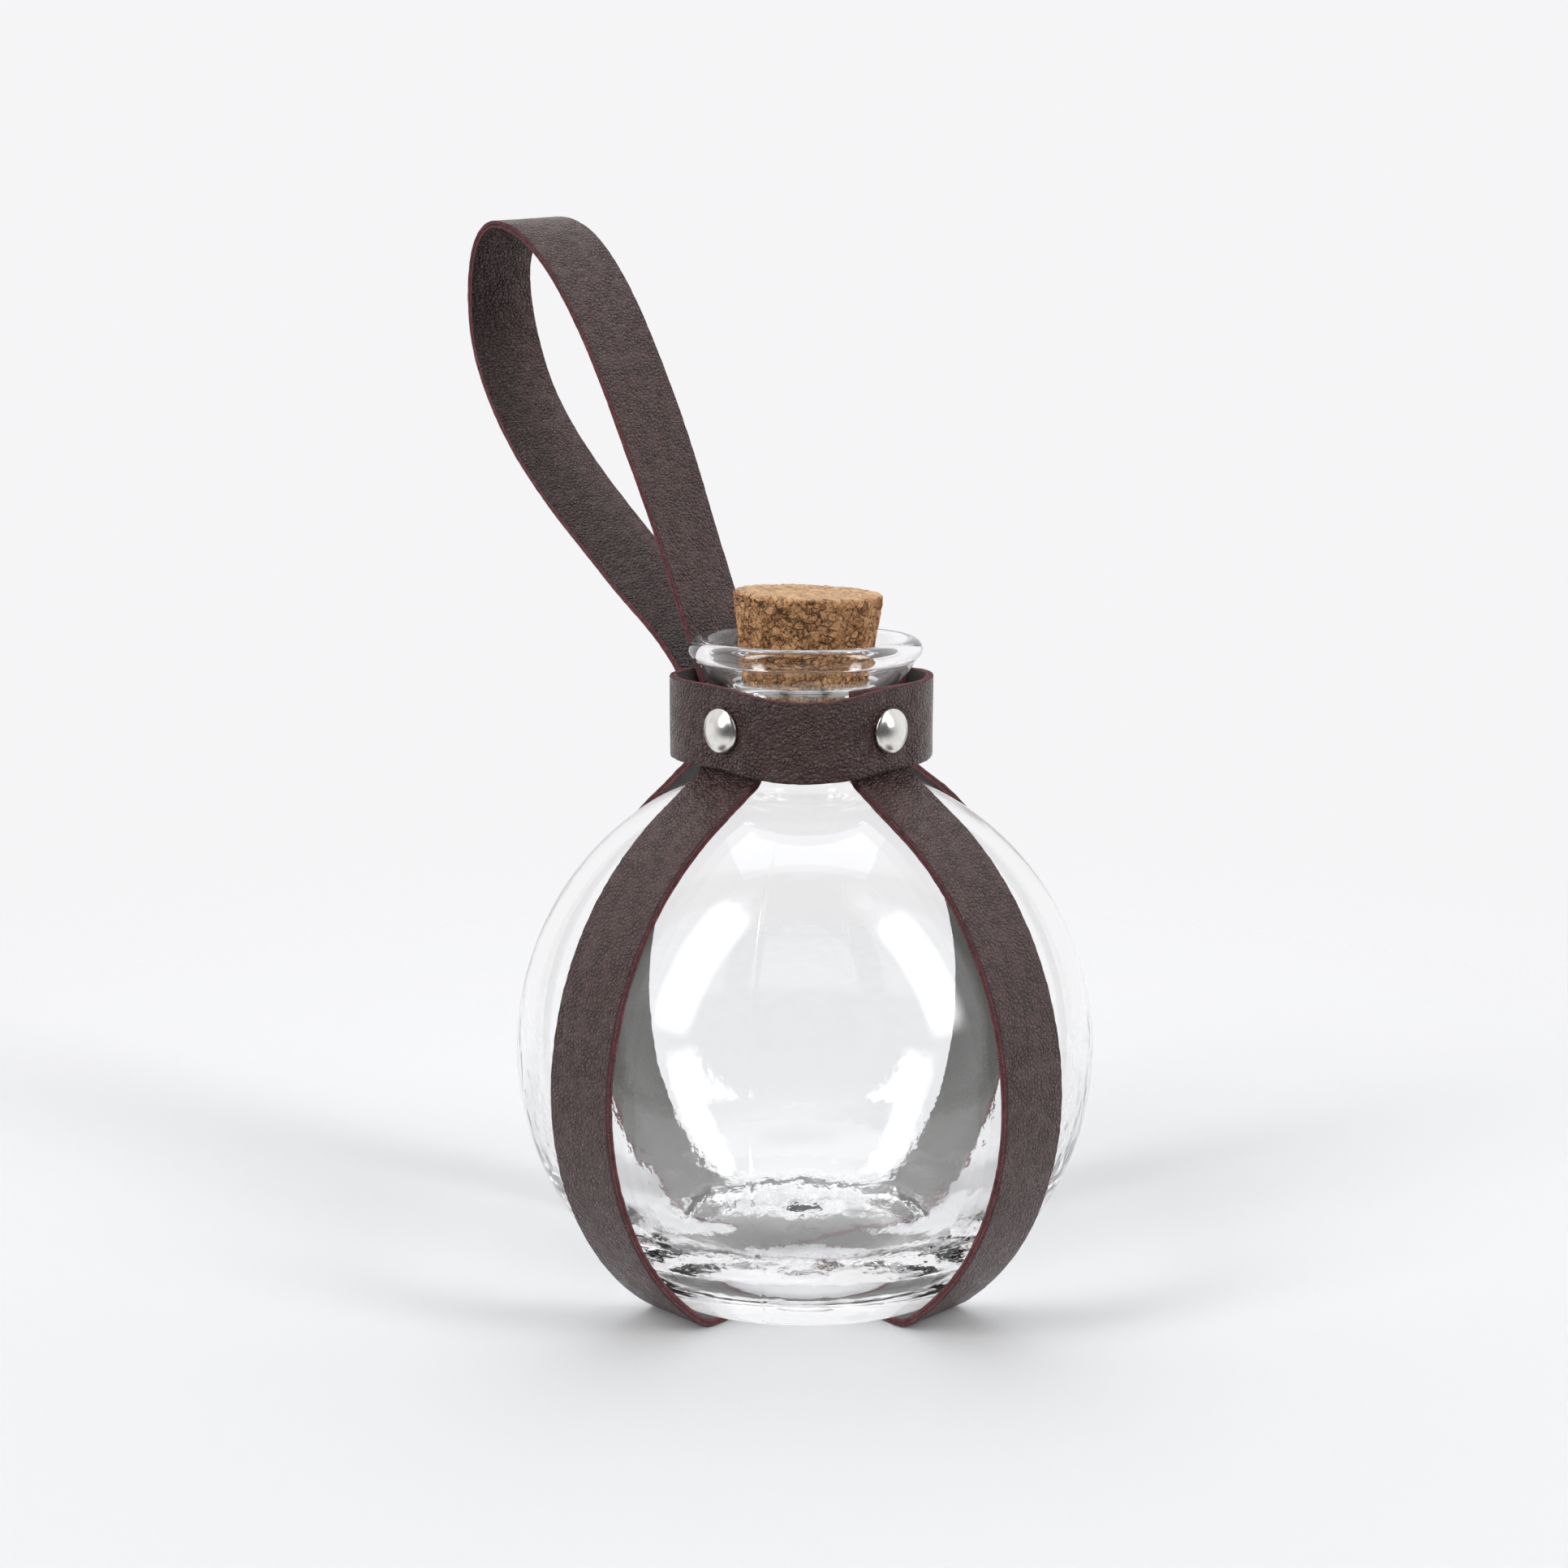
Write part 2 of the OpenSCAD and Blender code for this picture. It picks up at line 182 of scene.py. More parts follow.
def keyed(keys, x):
    """A value that eases between the keys (place, value)."""
    for (a, u), (b, v) in zip(keys, keys[1:]):
        if x <= b:
            return u + (v - u) * smooth_step((x - a) / (b - a))
    return keys[-1][1]


# ---- Meshes ----


def finish_mesh(name, bm, materials, body, replaced):
    """Turns a bmesh in millimetres into a finished piece that rides on a body."""
    bmesh.ops.scale(bm, vec=(MM, MM, MM), verts=bm.verts)
    mesh = bpy.data.meshes.new(name)
    bm.to_mesh(mesh)
    bm.free()
    mesh.polygons.foreach_set("use_smooth", [True] * len(mesh.polygons))
    for material in materials:
        mesh.materials.append(material)
    piece = bpy.data.objects.new(name, mesh)
    bpy.context.scene.collection.objects.link(piece)
    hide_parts(*replaced)
    if body:
        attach(piece, body)
    return piece


def spun(profile, steps):
    """A closed shell made by turning a line of (radius, height) points round the Z axis."""
    bm = bmesh.new()
    verts = [bm.verts.new((p[0], 0, p[1])) for p in profile]
    edges = [bm.edges.new(pair) for pair in zip(verts, verts[1:])]
    bmesh.ops.spin(
        bm, geom=verts + edges, cent=(0, 0, 0), axis=(0, 0, 1),
        angle=2 * math.pi, steps=steps, use_merge=True,
    )
    bmesh.ops.remove_doubles(bm, verts=bm.verts, dist=1e-4)
    bmesh.ops.recalc_face_normals(bm, faces=bm.faces)
    return bm


def strap_section(bm, width, thickness, rounding, cuts_across, cuts_through):
    """A strap's cross-section as one face: X across, Y towards the grain side."""
    made = bmesh.ops.create_grid(bm, x_segments=1, y_segments=1, size=0.5)
    bmesh.ops.scale(bm, vec=(width, thickness, 1), verts=made["verts"])
    bmesh.ops.bevel(
        bm, geom=made["verts"], offset=rounding, segments=3, profile=0.5,
        affect="VERTICES", material=-1,
    )
    wide = [e for e in bm.edges if abs(e.verts[0].co.y - e.verts[1].co.y) < 1e-5]
    tall = [e for e in bm.edges if abs(e.verts[0].co.x - e.verts[1].co.x) < 1e-5]
    bmesh.ops.subdivide_edges(bm, edges=wide, cuts=cuts_across)
    bmesh.ops.subdivide_edges(bm, edges=tall, cuts=cuts_through)
    return bmesh.ops.dissolve_faces(bm, faces=bm.faces[:], use_verts=False)["region"][0]


def strap(width, thickness, frames, rounding=0.28, cuts_across=13, cuts_through=3, backing=1.0):
    """A strap swept through the frames, with its finish kept as attributes.

    strap_uv runs along and round the strap in metres. raw_edge is 1 on the cut edges,
    back_side is 1 on the side away from the grain, through runs from 0 there to 1 at the grain.
    """
    bm = bmesh.new()
    bm.verts.layers.float.new("raw_edge")
    bm.verts.layers.float.new("back_side")
    bm.verts.layers.float.new("through")
    along = bm.verts.layers.float.new("along")
    around = bm.verts.layers.float.new("around")
    raw, back, through = (bm.verts.layers.float[n] for n in ("raw_edge", "back_side", "through"))
    uv = bm.loops.layers.uv.new("strap_uv")
    face = strap_section(bm, width, thickness, rounding, cuts_across, cuts_through)
    girth = 0.0
    ring = face.verts[:]
    for v, after in zip(ring, ring[1:] + ring[:1]):
        x, y = v.co.x, v.co.y
        v[raw] = smooth_step((abs(x) - width / 2 + rounding) / (rounding * 0.8))
        v[back] = backing * smooth_step((-y / thickness) * 4 - 0.6) * (1 - v[raw])
        v[through] = y / thickness + 0.5
        v[around] = girth
        girth += (after.co - v.co).length
    bmesh.ops.transform(bm, matrix=frames[0], verts=face.verts)
    travelled = 0.0
    for before, after in zip(frames, frames[1:]):
        made = bmesh.ops.extrude_face_region(bm, geom=[face])
        if travelled and face.is_valid:
            # The strap stays hollow: only the first and last sections close it
            bmesh.ops.delete(bm, geom=[face], context="FACES_ONLY")
        face = next(g for g in made["geom"] if isinstance(g, bmesh.types.BMFace))
        bmesh.ops.transform(bm, matrix=after @ before.inverted(), verts=face.verts)
        travelled += (after.translation - before.translation).length
        for v in face.verts:
            v[along] = travelled
    bmesh.ops.recalc_face_normals(bm, faces=bm.faces)
    for f in bm.faces:
        cap = len(f.verts) > 4
        places = [v[around] for v in f.verts]
        wraps = not cap and max(places) - min(places) > girth / 2
        for loop in f.loops:
            v = loop.vert
            place = v[around] + (girth if wraps and v[around] < girth / 2 else 0)
            reach = v[along] + (v[through] * thickness if cap else 0)
            loop[uv].uv = (reach * MM, place * MM)
    for f in bm.faces:
        if len(f.verts) > 4:
            for v in f.verts:
                v[raw] = max(v[raw], 0.75)
    return bm


def frames_along(points, across):
    """Sweep frames: X is the strap's width, Y the way its grain faces, Z the way it runs."""
    frames = []
    for i, p in enumerate(points):
        way = (points[min(i + 1, len(points) - 1)] - points[max(i - 1, 0)]).normalized()
        wide = across(i, p)
        wide = (wide - way * wide.dot(way)).normalized()
        out = way.cross(wide)
        frames.append(Matrix.Translation(p) @ Matrix((wide, out, way)).transposed().to_4x4())
    return frames


def ruffle(bm, amount, scale, seed):
    """Gives leather the slight unevenness of a soft material."""
    offset = Vector((seed, seed * 0.7, -seed))
    for v in bm.verts:
        v.co += v.normal * noise.noise(v.co / scale + offset) * amount


def fray(bm, amount):
    """Roughens the cut edges a little."""
    raw = bm.verts.layers.float["raw_edge"]
    for v in bm.verts:
        if v[raw] > 0.5:
            v.co += v.normal * noise.noise(v.co * 1.9) * amount


# ---- Node helpers ----


def node(tree, kind, **settings):
    """A new node with its settings."""
    made = tree.nodes.new("ShaderNode" + kind)
    for key, value in settings.items():
        setattr(made, key, value)
    return made


def feed(tree, socket, value):
    """Links a socket to value, or sets it if value is a plain number or colour."""
    if isinstance(value, bpy.types.NodeSocket):
        tree.links.new(value, socket)
    else:
        socket.default_value = value


def calc(tree, operation, a, b=0.0, clamp=False):
    """One sum of two values."""
    made = node(tree, "Math", operation=operation, use_clamp=clamp)
    feed(tree, made.inputs[0], a)
    feed(tree, made.inputs[1], b)
    return made.outputs[0]


def between(tree, value, low, high, out_low=0.0, out_high=1.0):
    """value from low to high becomes out_low to out_high, with soft ends."""
    made = node(tree, "MapRange", interpolation_type="SMOOTHSTEP")
    for index, given in enumerate((value, low, high, out_low, out_high)):
        feed(tree, made.inputs[index], given)
    return made.outputs[0]


def mixed(tree, share, a, b):
    """Colour a turning into colour b by share."""
    made = node(tree, "Mix", data_type="RGBA")
    feed(tree, made.inputs[0], share)
    feed(tree, made.inputs[6], a)
    feed(tree, made.inputs[7], b)
    return made.outputs[2]


def noisy(tree, vector, scale, detail=2.0, roughness=0.5, dims="3D"):
    """Cloudy noise, scale in waves a metre."""
    made = node(tree, "TexNoise", noise_dimensions=dims)
    feed(tree, made.inputs["Vector"], vector)
    feed(tree, made.inputs["Scale"], scale)
    made.inputs["Detail"].default_value = detail
    made.inputs["Roughness"].default_value = roughness
    return made


def cells(tree, vector, scale, feature="F1", dims="3D", smoothness=None):
    """A pattern of cells, scale in cells a metre."""
    made = node(tree, "TexVoronoi", feature=feature, voronoi_dimensions=dims)
    feed(tree, made.inputs["Vector"], vector)
    feed(tree, made.inputs["Scale"], scale)
    if smoothness is not None:
        made.inputs["Smoothness"].default_value = smoothness
    return made


def warped(tree, vector, scale, amount, dims="3D"):
    """vector pushed about by noise, so that a pattern loses its regular look."""
    push = noisy(tree, vector, scale, 1.5, 0.5, dims)
    centred = node(tree, "VectorMath", operation="SUBTRACT")
    tree.links.new(push.outputs["Color"], centred.inputs[0])
    centred.inputs[1].default_value = (0.5, 0.5, 0.5)
    sized = node(tree, "VectorMath", operation="SCALE")
    tree.links.new(centred.outputs[0], sized.inputs[0])
    feed(tree, sized.inputs["Scale"], amount)
    moved = node(tree, "VectorMath", operation="ADD")
    feed(tree, moved.inputs[0], vector)
    tree.links.new(sized.outputs[0], moved.inputs[1])
    return moved.outputs[0]


def attribute(tree, name):
    """A value that the mesh keeps at its points."""
    return node(tree, "Attribute", attribute_name=name).outputs["Fac"]


def strap_place(tree):
    """Place along and round a strap, in metres."""
    made = node(tree, "UVMap", uv_map="strap_uv")
    return made.outputs["UV"]


def object_place(tree):
    """Place in the object's own frame, in metres."""
    return node(tree, "TexCoord").outputs["Object"]


def group(name, inputs, outputs):
    """A new shader node group with named sockets: (tree, its input sockets, its output node)."""
    tree = bpy.data.node_groups.new(name, "ShaderNodeTree")
    kinds = {"vector": "NodeSocketVector", "value": "NodeSocketFloat", "colour": "NodeSocketColor"}
    for title, kind, default in inputs:
        socket = tree.interface.new_socket(title, in_out="INPUT", socket_type=kinds[kind])
        if default is not None:
            socket.default_value = default
    for title, kind in outputs:
        tree.interface.new_socket(title, in_out="OUTPUT", socket_type=kinds[kind])
    entry = tree.nodes.new("NodeGroupInput")
    leave = tree.nodes.new("NodeGroupOutput")
    return tree, entry.outputs, leave.inputs


def use_group(tree, name, **values):
    """Puts a node group into a tree and feeds its named sockets."""
    made = node(tree, "Group", node_tree=bpy.data.node_groups[name])
    for key, value in values.items():
        feed(tree, made.inputs[key.replace("_", " ")], value)
    return made.outputs


def new_material(name):
    """A material with its tree and its shader."""
    material = bpy.data.materials.new(name)
    material.use_nodes = True
    tree = material.node_tree
    shader = next(n for n in tree.nodes if n.type == "BSDF_PRINCIPLED")
    return material, tree, shader


def bump(tree, height, depth_mm):
    """A height turned into a surface direction."""
    made = node(tree, "Bump")
    made.inputs["Strength"].default_value = 1.0
    made.inputs["Distance"].default_value = depth_mm * MM
    feed(tree, made.inputs["Height"], height)
    return made.outputs[0]


# ---- Node groups ----


def build_pebble_grain():
    """Pebbled leather grain: rounded pebbles with creases between them."""
    tree, given, gives = group(
        "pebble grain",
        [("Vector", "vector", None), ("Pebble scale", "value", 1600.0), ("Unevenness", "value", 0.5)],
        [("Height", "value"), ("Crease", "value"), ("Mottle", "value")],
    )
    place = warped(tree, given["Vector"], 900.0, 0.00045, "2D")
    pebble = cells(tree, place, given["Pebble scale"], "SMOOTH_F1", "2D", 0.35).outputs["Distance"]
    edge = cells(tree, place, given["Pebble scale"], "DISTANCE_TO_EDGE", "2D").outputs["Distance"]
    small = cells(tree, place, calc(tree, "MULTIPLY", given["Pebble scale"], 1.9), "SMOOTH_F1", "2D", 0.3)
    patch = noisy(tree, given["Vector"], 330.0, 2.0, 0.5, "2D").outputs["Fac"]
    fine = noisy(tree, given["Vector"], 7000.0, 2.0, 0.6, "2D").outputs["Fac"]
    dome = calc(tree, "SUBTRACT", 1.0, pebble, True)
    crease = between(tree, edge, 0.0, 0.22, 1.0, 0.0)
    small_dome = calc(tree, "SUBTRACT", 1.0, small.outputs["Distance"], True)
    height = calc(tree, "MULTIPLY", dome, 0.75)
    height = calc(tree, "ADD", height, calc(tree, "MULTIPLY", small_dome, 0.45))
    height = calc(tree, "SUBTRACT", height, calc(tree, "MULTIPLY", crease, 0.32))
    depth = between(tree, patch, 0.3, 0.7, calc(tree, "SUBTRACT", 1.0, given["Unevenness"]), 1.0)
    height = calc(tree, "MULTIPLY", height, depth)
    height = calc(tree, "ADD", height, calc(tree, "MULTIPLY", fine, 0.08))
    tree.links.new(height, gives["Height"])
    tree.links.new(calc(tree, "MULTIPLY", crease, depth), gives["Crease"])
    tree.links.new(patch, gives["Mottle"])


def build_cut_fibre():
    """Raw cut leather: short fibres, with dark flecks and a dark line in the middle."""
    tree, given, gives = group(
        "cut fibre",
        [("Vector", "vector", None), ("Through", "value", 0.5), ("Colour", "colour", None),
         ("Dark colour", "colour", None), ("Middle line", "value", 0.0)],
        [("Colour", "colour"), ("Height", "value")],
    )
    place = warped(tree, given["Vector"], 2600.0, 0.0003)
    fleck = noisy(tree, place, 3600.0, 3.0, 0.7).outputs["Fac"]
    slow = noisy(tree, given["Vector"], 700.0, 2.0, 0.6).outputs["Fac"]
    dark = between(tree, fleck, 0.40, 0.62, 0.85, 0.0)
    line = calc(tree, "ABSOLUTE", calc(tree, "SUBTRACT", given["Through"], 0.52))
    line = calc(tree, "MULTIPLY", between(tree, line, 0.03, 0.16, 1.0, 0.0), given["Middle line"])
    face = between(tree, given["Through"], 0.80, 0.93, 0.0, 0.9)
    dark = calc(tree, "MAXIMUM", dark, calc(tree, "MAXIMUM", line, face))
    tone = mixed(tree, dark, given["Colour"], given["Dark colour"])
    lift = between(tree, slow, 0.3, 0.7, 0.75, 1.2)
    scaled = node(tree, "VectorMath", operation="SCALE")
    tree.links.new(tone, scaled.inputs[0])
    tree.links.new(lift, scaled.inputs["Scale"])
    tree.links.new(scaled.outputs[0], gives["Colour"])
    tree.links.new(calc(tree, "SUBTRACT", fleck, calc(tree, "MULTIPLY", line, 0.6)), gives["Height"])


def build_fine_dust():
    """A thin, patchy film of dust or finger marks, as a mask."""
    tree, given, gives = group(
        "fine dust",
        [("Vector", "vector", None), ("Scale", "value", 90.0), ("Amount", "value", 0.3)],
        [("Mask", "value")],
    )
    patch = noisy(tree, given["Vector"], given["Scale"], 4.0, 0.65).outputs["Fac"]
    tree.links.new(calc(tree, "MULTIPLY", between(tree, patch, 0.42, 0.75), given["Amount"]), gives["Mask"])


# ---- Materials ----


def leather_material(name, look, middle_line):
    """Pebbled leather whose raw edges and cloth back come from the strap's attributes, with painted shade in
    the creases of its grain.
    """
    material, tree, shader = new_material(name)
    place = strap_place(tree)
    raw, back, through = (attribute(tree, n) for n in ("raw_edge", "back_side", "through"))
    grain = use_group(tree, "pebble grain", Vector=place, Pebble_scale=1000 / look.pebble, Unevenness=0.55)
    dust = use_group(tree, "fine dust", Vector=object_place(tree), Scale=160.0, Amount=0.5)["Mask"]
    face = mixed(tree, grain["Mottle"], (*look.face_dark, 1), (*look.face, 1))
    # Painted shade: the creases between the pebbles are darkened towards the crease colour.
    face = mixed(tree, calc(tree, "MULTIPLY", grain["Crease"], 0.85), face, (*look.crease, 1))
    weave = noisy(tree, place, 4200.0, 3.0, 0.7).outputs["Fac"]
    cloth = mixed(tree, between(tree, weave, 0.3, 0.7), (*look.backing_dark, 1), (*look.backing, 1))
    fibre = use_group(
        tree, "cut fibre", Vector=object_place(tree), Through=through, Colour=(*look.edge, 1),
        Dark_colour=(*look.edge_dark, 1), Middle_line=middle_line,
    )
    ragged = noisy(tree, place, 2400.0, 2.0, 0.6).outputs["Fac"]
    ragged = calc(tree, "MULTIPLY", calc(tree, "SUBTRACT", ragged, 0.5), 0.5)
    on_edge = between(tree, calc(tree, "ADD", raw, ragged), 0.42, 0.62)
    on_back = between(tree, calc(tree, "ADD", back, ragged), 0.35, 0.6)
    colour = mixed(tree, on_back, face, cloth)
    colour = mixed(tree, on_edge, colour, fibre["Colour"])
    feed(tree, shader.inputs["Base Color"], colour)
    rough = calc(tree, "ADD", look.face_roughness, calc(tree, "MULTIPLY", grain["Crease"], 0.22))
    rough = calc(tree, "ADD", rough, calc(tree, "MULTIPLY", dust, 0.25))
    dull = calc(tree, "MAXIMUM", on_edge, on_back)
    rough = calc(tree, "ADD", rough, calc(tree, "MULTIPLY", dull, 0.45), True)
    feed(tree, shader.inputs["Roughness"], rough)
    shader.inputs["Specular IOR Level"].default_value = 0.5
    hide = calc(tree, "MULTIPLY", grain["Height"], calc(tree, "SUBTRACT", 1.0, dull, True))
    soft = calc(tree, "MULTIPLY", calc(tree, "MULTIPLY", fibre["Height"], 0.9), dull)
    feed(tree, shader.inputs["Normal"], bump(tree, calc(tree, "ADD", hide, soft), look.grain_depth))
    return material


def cork_material(look):
    """Pressed cork granules with dark gaps and pores, partly darkened with painted shade, and a top painted
    lighter as if lit from above.
    """
    material, tree, shader = new_material("pressed cork")
    place = warped(tree, object_place(tree), 620.0, 0.0017)
    chips = cells(tree, place, 640.0)
    crumbs = cells(tree, warped(tree, place, 1300.0, 0.0008), 1900.0)
    tone = node(tree, "SeparateColor")
    tree.links.new(chips.outputs["Color"], tone.inputs[0])
    crumb_tone = node(tree, "SeparateColor")
    tree.links.new(crumbs.outputs["Color"], crumb_tone.inputs[0])
    colour = mixed(tree, tone.outputs[0], (*look.dark, 1), (*look.light, 1))
    colour = mixed(tree, calc(tree, "MULTIPLY", crumb_tone.outputs[1], 0.55), colour, (*look.middle, 1))
    gap = cells(tree, place, 640.0, "DISTANCE_TO_EDGE").outputs["Distance"]
    gap = between(tree, gap, 0.0, 0.14, 1.0, 0.0)
    broken = noisy(tree, place, 420.0, 3.0, 0.6).outputs["Fac"]
    gap = calc(tree, "MULTIPLY", gap, between(tree, broken, 0.40, 0.58))
    pore = noisy(tree, warped(tree, place, 900.0, 0.0009), 800.0, 3.0, 0.65).outputs["Fac"]
    pore = between(tree, pore, 0.58, 0.67)
    streak = noisy(tree, place, 2600.0, 4.0, 0.7).outputs["Fac"]
    colour = mixed(tree, between(tree, streak, 0.50, 0.66, 0.0, 0.75), colour, (*look.light, 1))
    colour = mixed(tree, between(tree, streak, 0.50, 0.36, 0.0, 0.8), colour, (*look.pore, 1))
    # Painted light: the top is painted lighter, as if lit from above.
    colour = mixed(tree, calc(tree, "MULTIPLY", attribute(tree, "cut_top"), 0.6), colour, (*look.top, 1))
    # Painted shade: the gaps and pores are darkened towards the pore colour. This is their own dark tone with
    # shade in the recesses painted on, and less of it on the top.
    side = calc(tree, "SUBTRACT", 1.0, calc(tree, "MULTIPLY", attribute(tree, "cut_top"), 0.55))
    sunk = calc(tree, "MAXIMUM", calc(tree, "MULTIPLY", gap, 0.85), pore)
    shade = calc(tree, "MULTIPLY", calc(tree, "MULTIPLY", sunk, side), 0.9)
    colour = mixed(tree, shade, colour, (*look.pore, 1))
    feed(tree, shader.inputs["Base Color"], colour)
    shader.inputs["Specular IOR Level"].default_value = 0.25
    feed(tree, shader.inputs["Roughness"], between(tree, streak, 0.2, 0.8, 0.72, 0.95))
    height = calc(tree, "SUBTRACT", calc(tree, "MULTIPLY", streak, 0.5), sunk)
    feed(tree, shader.inputs["Normal"], bump(tree, height, 0.35))
    return material


def nickel_material(look):
    """Polished plate with faint hairlines and finger marks."""
    material, tree, shader = new_material("nickel plate")
    place = object_place(tree)
    dust = use_group(tree, "fine dust", Vector=place, Scale=420.0, Amount=0.6)["Mask"]
    stretched = node(tree, "Mapping")
    tree.links.new(place, stretched.inputs["Vector"])
    stretched.inputs["Scale"].default_value = (1, 1, 9)
    hair = noisy(tree, stretched.outputs[0], 2500.0, 3.0, 0.6).outputs["Fac"]
    feed(tree, shader.inputs["Base Color"], mixed(tree, dust, (*look.shine, 1), (*look.tarnish, 1)))
    shader.inputs["Metallic"].default_value = 1.0
    rough = calc(tree, "ADD", 0.19, calc(tree, "MULTIPLY", dust, 0.14))
    feed(tree, shader.inputs["Roughness"], calc(tree, "ADD", rough, calc(tree, "MULTIPLY", hair, 0.05)))
    feed(tree, shader.inputs["Normal"], bump(tree, hair, 0.004))
    return material


def glass_material(look):
    """Clear glass that lets light through to the floor, rippled inside where the mesh says so."""
    material, tree, shader = new_material("clear glass")
    place = object_place(tree)
    shader.inputs["Base Color"].default_value = (*look.tint, 1)
    shader.inputs["Transmission Weight"].default_value = 1.0
    shader.inputs["IOR"].default_value = 1.5
    shader.inputs["Roughness"].default_value = 0.0
    ripple = attribute(tree, "ripple")
    coarse = noisy(tree, place, 260.0, 1.0, 0.5).outputs["Fac"]
    fine = noisy(tree, place, 900.0, 2.0, 0.55).outputs["Fac"]
    height = calc(tree, "ADD", coarse, calc(tree, "MULTIPLY", fine, look.fine_ripple))
    height = calc(tree, "MULTIPLY", height, ripple)
    feed(tree, shader.inputs["Normal"], bump(tree, height, look.ripple_depth))
    clear = node(tree, "BsdfTransparent")
    clear.inputs["Color"].default_value = (0.96, 0.965, 0.965, 1)
    path = node(tree, "LightPath")
    mix = node(tree, "MixShader")
    tree.links.new(path.outputs["Is Shadow Ray"], mix.inputs[0])
    tree.links.new(shader.outputs[0], mix.inputs[1])
    tree.links.new(clear.outputs[0], mix.inputs[2])
    out = next(n for n in tree.nodes if n.type == "OUTPUT_MATERIAL")
    tree.links.new(mix.outputs[0], out.inputs["Surface"])
    return material


# ---- Settings ----


def length_prop(name, description, default):
    """A length in metres."""
    return bpy.props.FloatProperty(
        name=name, description=description, default=default, unit="LENGTH", precision=5
    )


def plain_prop(name, description, default):
    """A number without a unit of Blender's own."""
    return bpy.props.FloatProperty(name=name, description=description, default=default)


def colour_prop(name, description, default):
    """A colour."""
    return bpy.props.FloatVectorProperty(
        name=name, description=description, default=default, subtype="COLOR", size=3, min=0.0, max=1.0
    )


class CanteenLeather(bpy.types.PropertyGroup):
    """Colours and grain of the harness."""

    face: colour_prop("Grain", "Colour of the grain side", (0.0900, 0.0360, 0.0345))
    face_dark: colour_prop("Dark grain", "Colour of its darker patches", (0.0600, 0.0250, 0.0240))
    # crease is painted shade, the dark colour put into the creases between the pebbles.
    crease: colour_prop("Painted crease shade", "Colour between the pebbles", (0.0050, 0.0030, 0.0030))
    edge: colour_prop("Cut edge", "Colour of the raw edges", (0.290, 0.085, 0.095))
    edge_dark: colour_prop("Dark edge", "Colour of the flecks in the raw edges", (0.040, 0.014, 0.014))
    backing: colour_prop("Cloth back", "Colour of the back", (0.220, 0.214, 0.208))
    backing_dark: colour_prop("Dark cloth back", "Colour of the back's darker threads", (0.120, 0.116, 0.112))
    pebble: plain_prop("Pebble width", "Width of one pebble of the grain in millimetres", 0.78)
    grain_depth: plain_prop("Grain depth", "Depth of the grain in millimetres", 0.60)
    face_roughness: plain_prop("Grain roughness", "Roughness of the grain side", 0.24)


class CanteenCork(bpy.types.PropertyGroup):
    """Colours of the cork."""

    light: colour_prop("Light granules", "Colour of the lightest granules", (0.780, 0.440, 0.215))
    middle: colour_prop("Middle granules", "Colour of the crumbs", (0.420, 0.200, 0.082))
    dark: colour_prop("Dark granules", "Colour of the darkest granules", (0.240, 0.098, 0.037))
    # pore is the dark tone of pores and streaks, and also the painted shade in the gaps and pores.
    pore: colour_prop("Pores and painted shade", "Colour inside gaps and pores", (0.060, 0.024, 0.010))
    # top is painted light, the lighter colour given to the top, which faces the light from above.
    top: colour_prop("Painted lit top", "Colour of the cut top", (0.700, 0.480, 0.300))
    lean: bpy.props.FloatProperty(
        name="Lean", description="How far the cork leans in the neck",
        default=math.radians(-2.2), subtype="ANGLE",
    )


class CanteenMetal(bpy.types.PropertyGroup):
    """Colours of the rivets."""

    shine: colour_prop("Nickel", "Colour of the plate", (0.830, 0.815, 0.780))
    tarnish: colour_prop("Film", "Colour under finger marks", (0.600, 0.580, 0.540))


class CanteenGlass(bpy.types.PropertyGroup):
    """Sizes and finish of the bottle's glass."""

    wall: length_prop("Wall", "Thickness of the globe's wall", 0.003)
    floor: length_prop("Floor", "Thickness of the heavy floor", 0.0085)
    tint: colour_prop("Tint", "Tint of the glass", (0.997, 0.999, 0.998))
    ripple_depth: plain_prop("Ripple depth", "Depth of the ripples inside in millimetres", 0.10)
    fine_ripple: plain_prop("Fine ripple", "Share of the finest ripples", 0.22)


class CanteenStage(bpy.types.PropertyGroup):
    """Light and floor."""

    floor: colour_prop("Floor", "Colour of the paper floor", (0.690, 0.696, 0.706))
    dark_room: colour_prop("Dark side", "Colour of the room behind the viewer", (0.100, 0.099, 0.102))
    sky: plain_prop("Sky light", "Strength of the light from all round", 0.925)
    window: plain_prop("Windows", "Brightness of the two tall windows in front", 12.0)
    softbox: bpy.props.FloatProperty(
        name="Softbox", description="Power of the overhead softbox", default=4.5, unit="POWER"
    )


# ---- Bottle ----


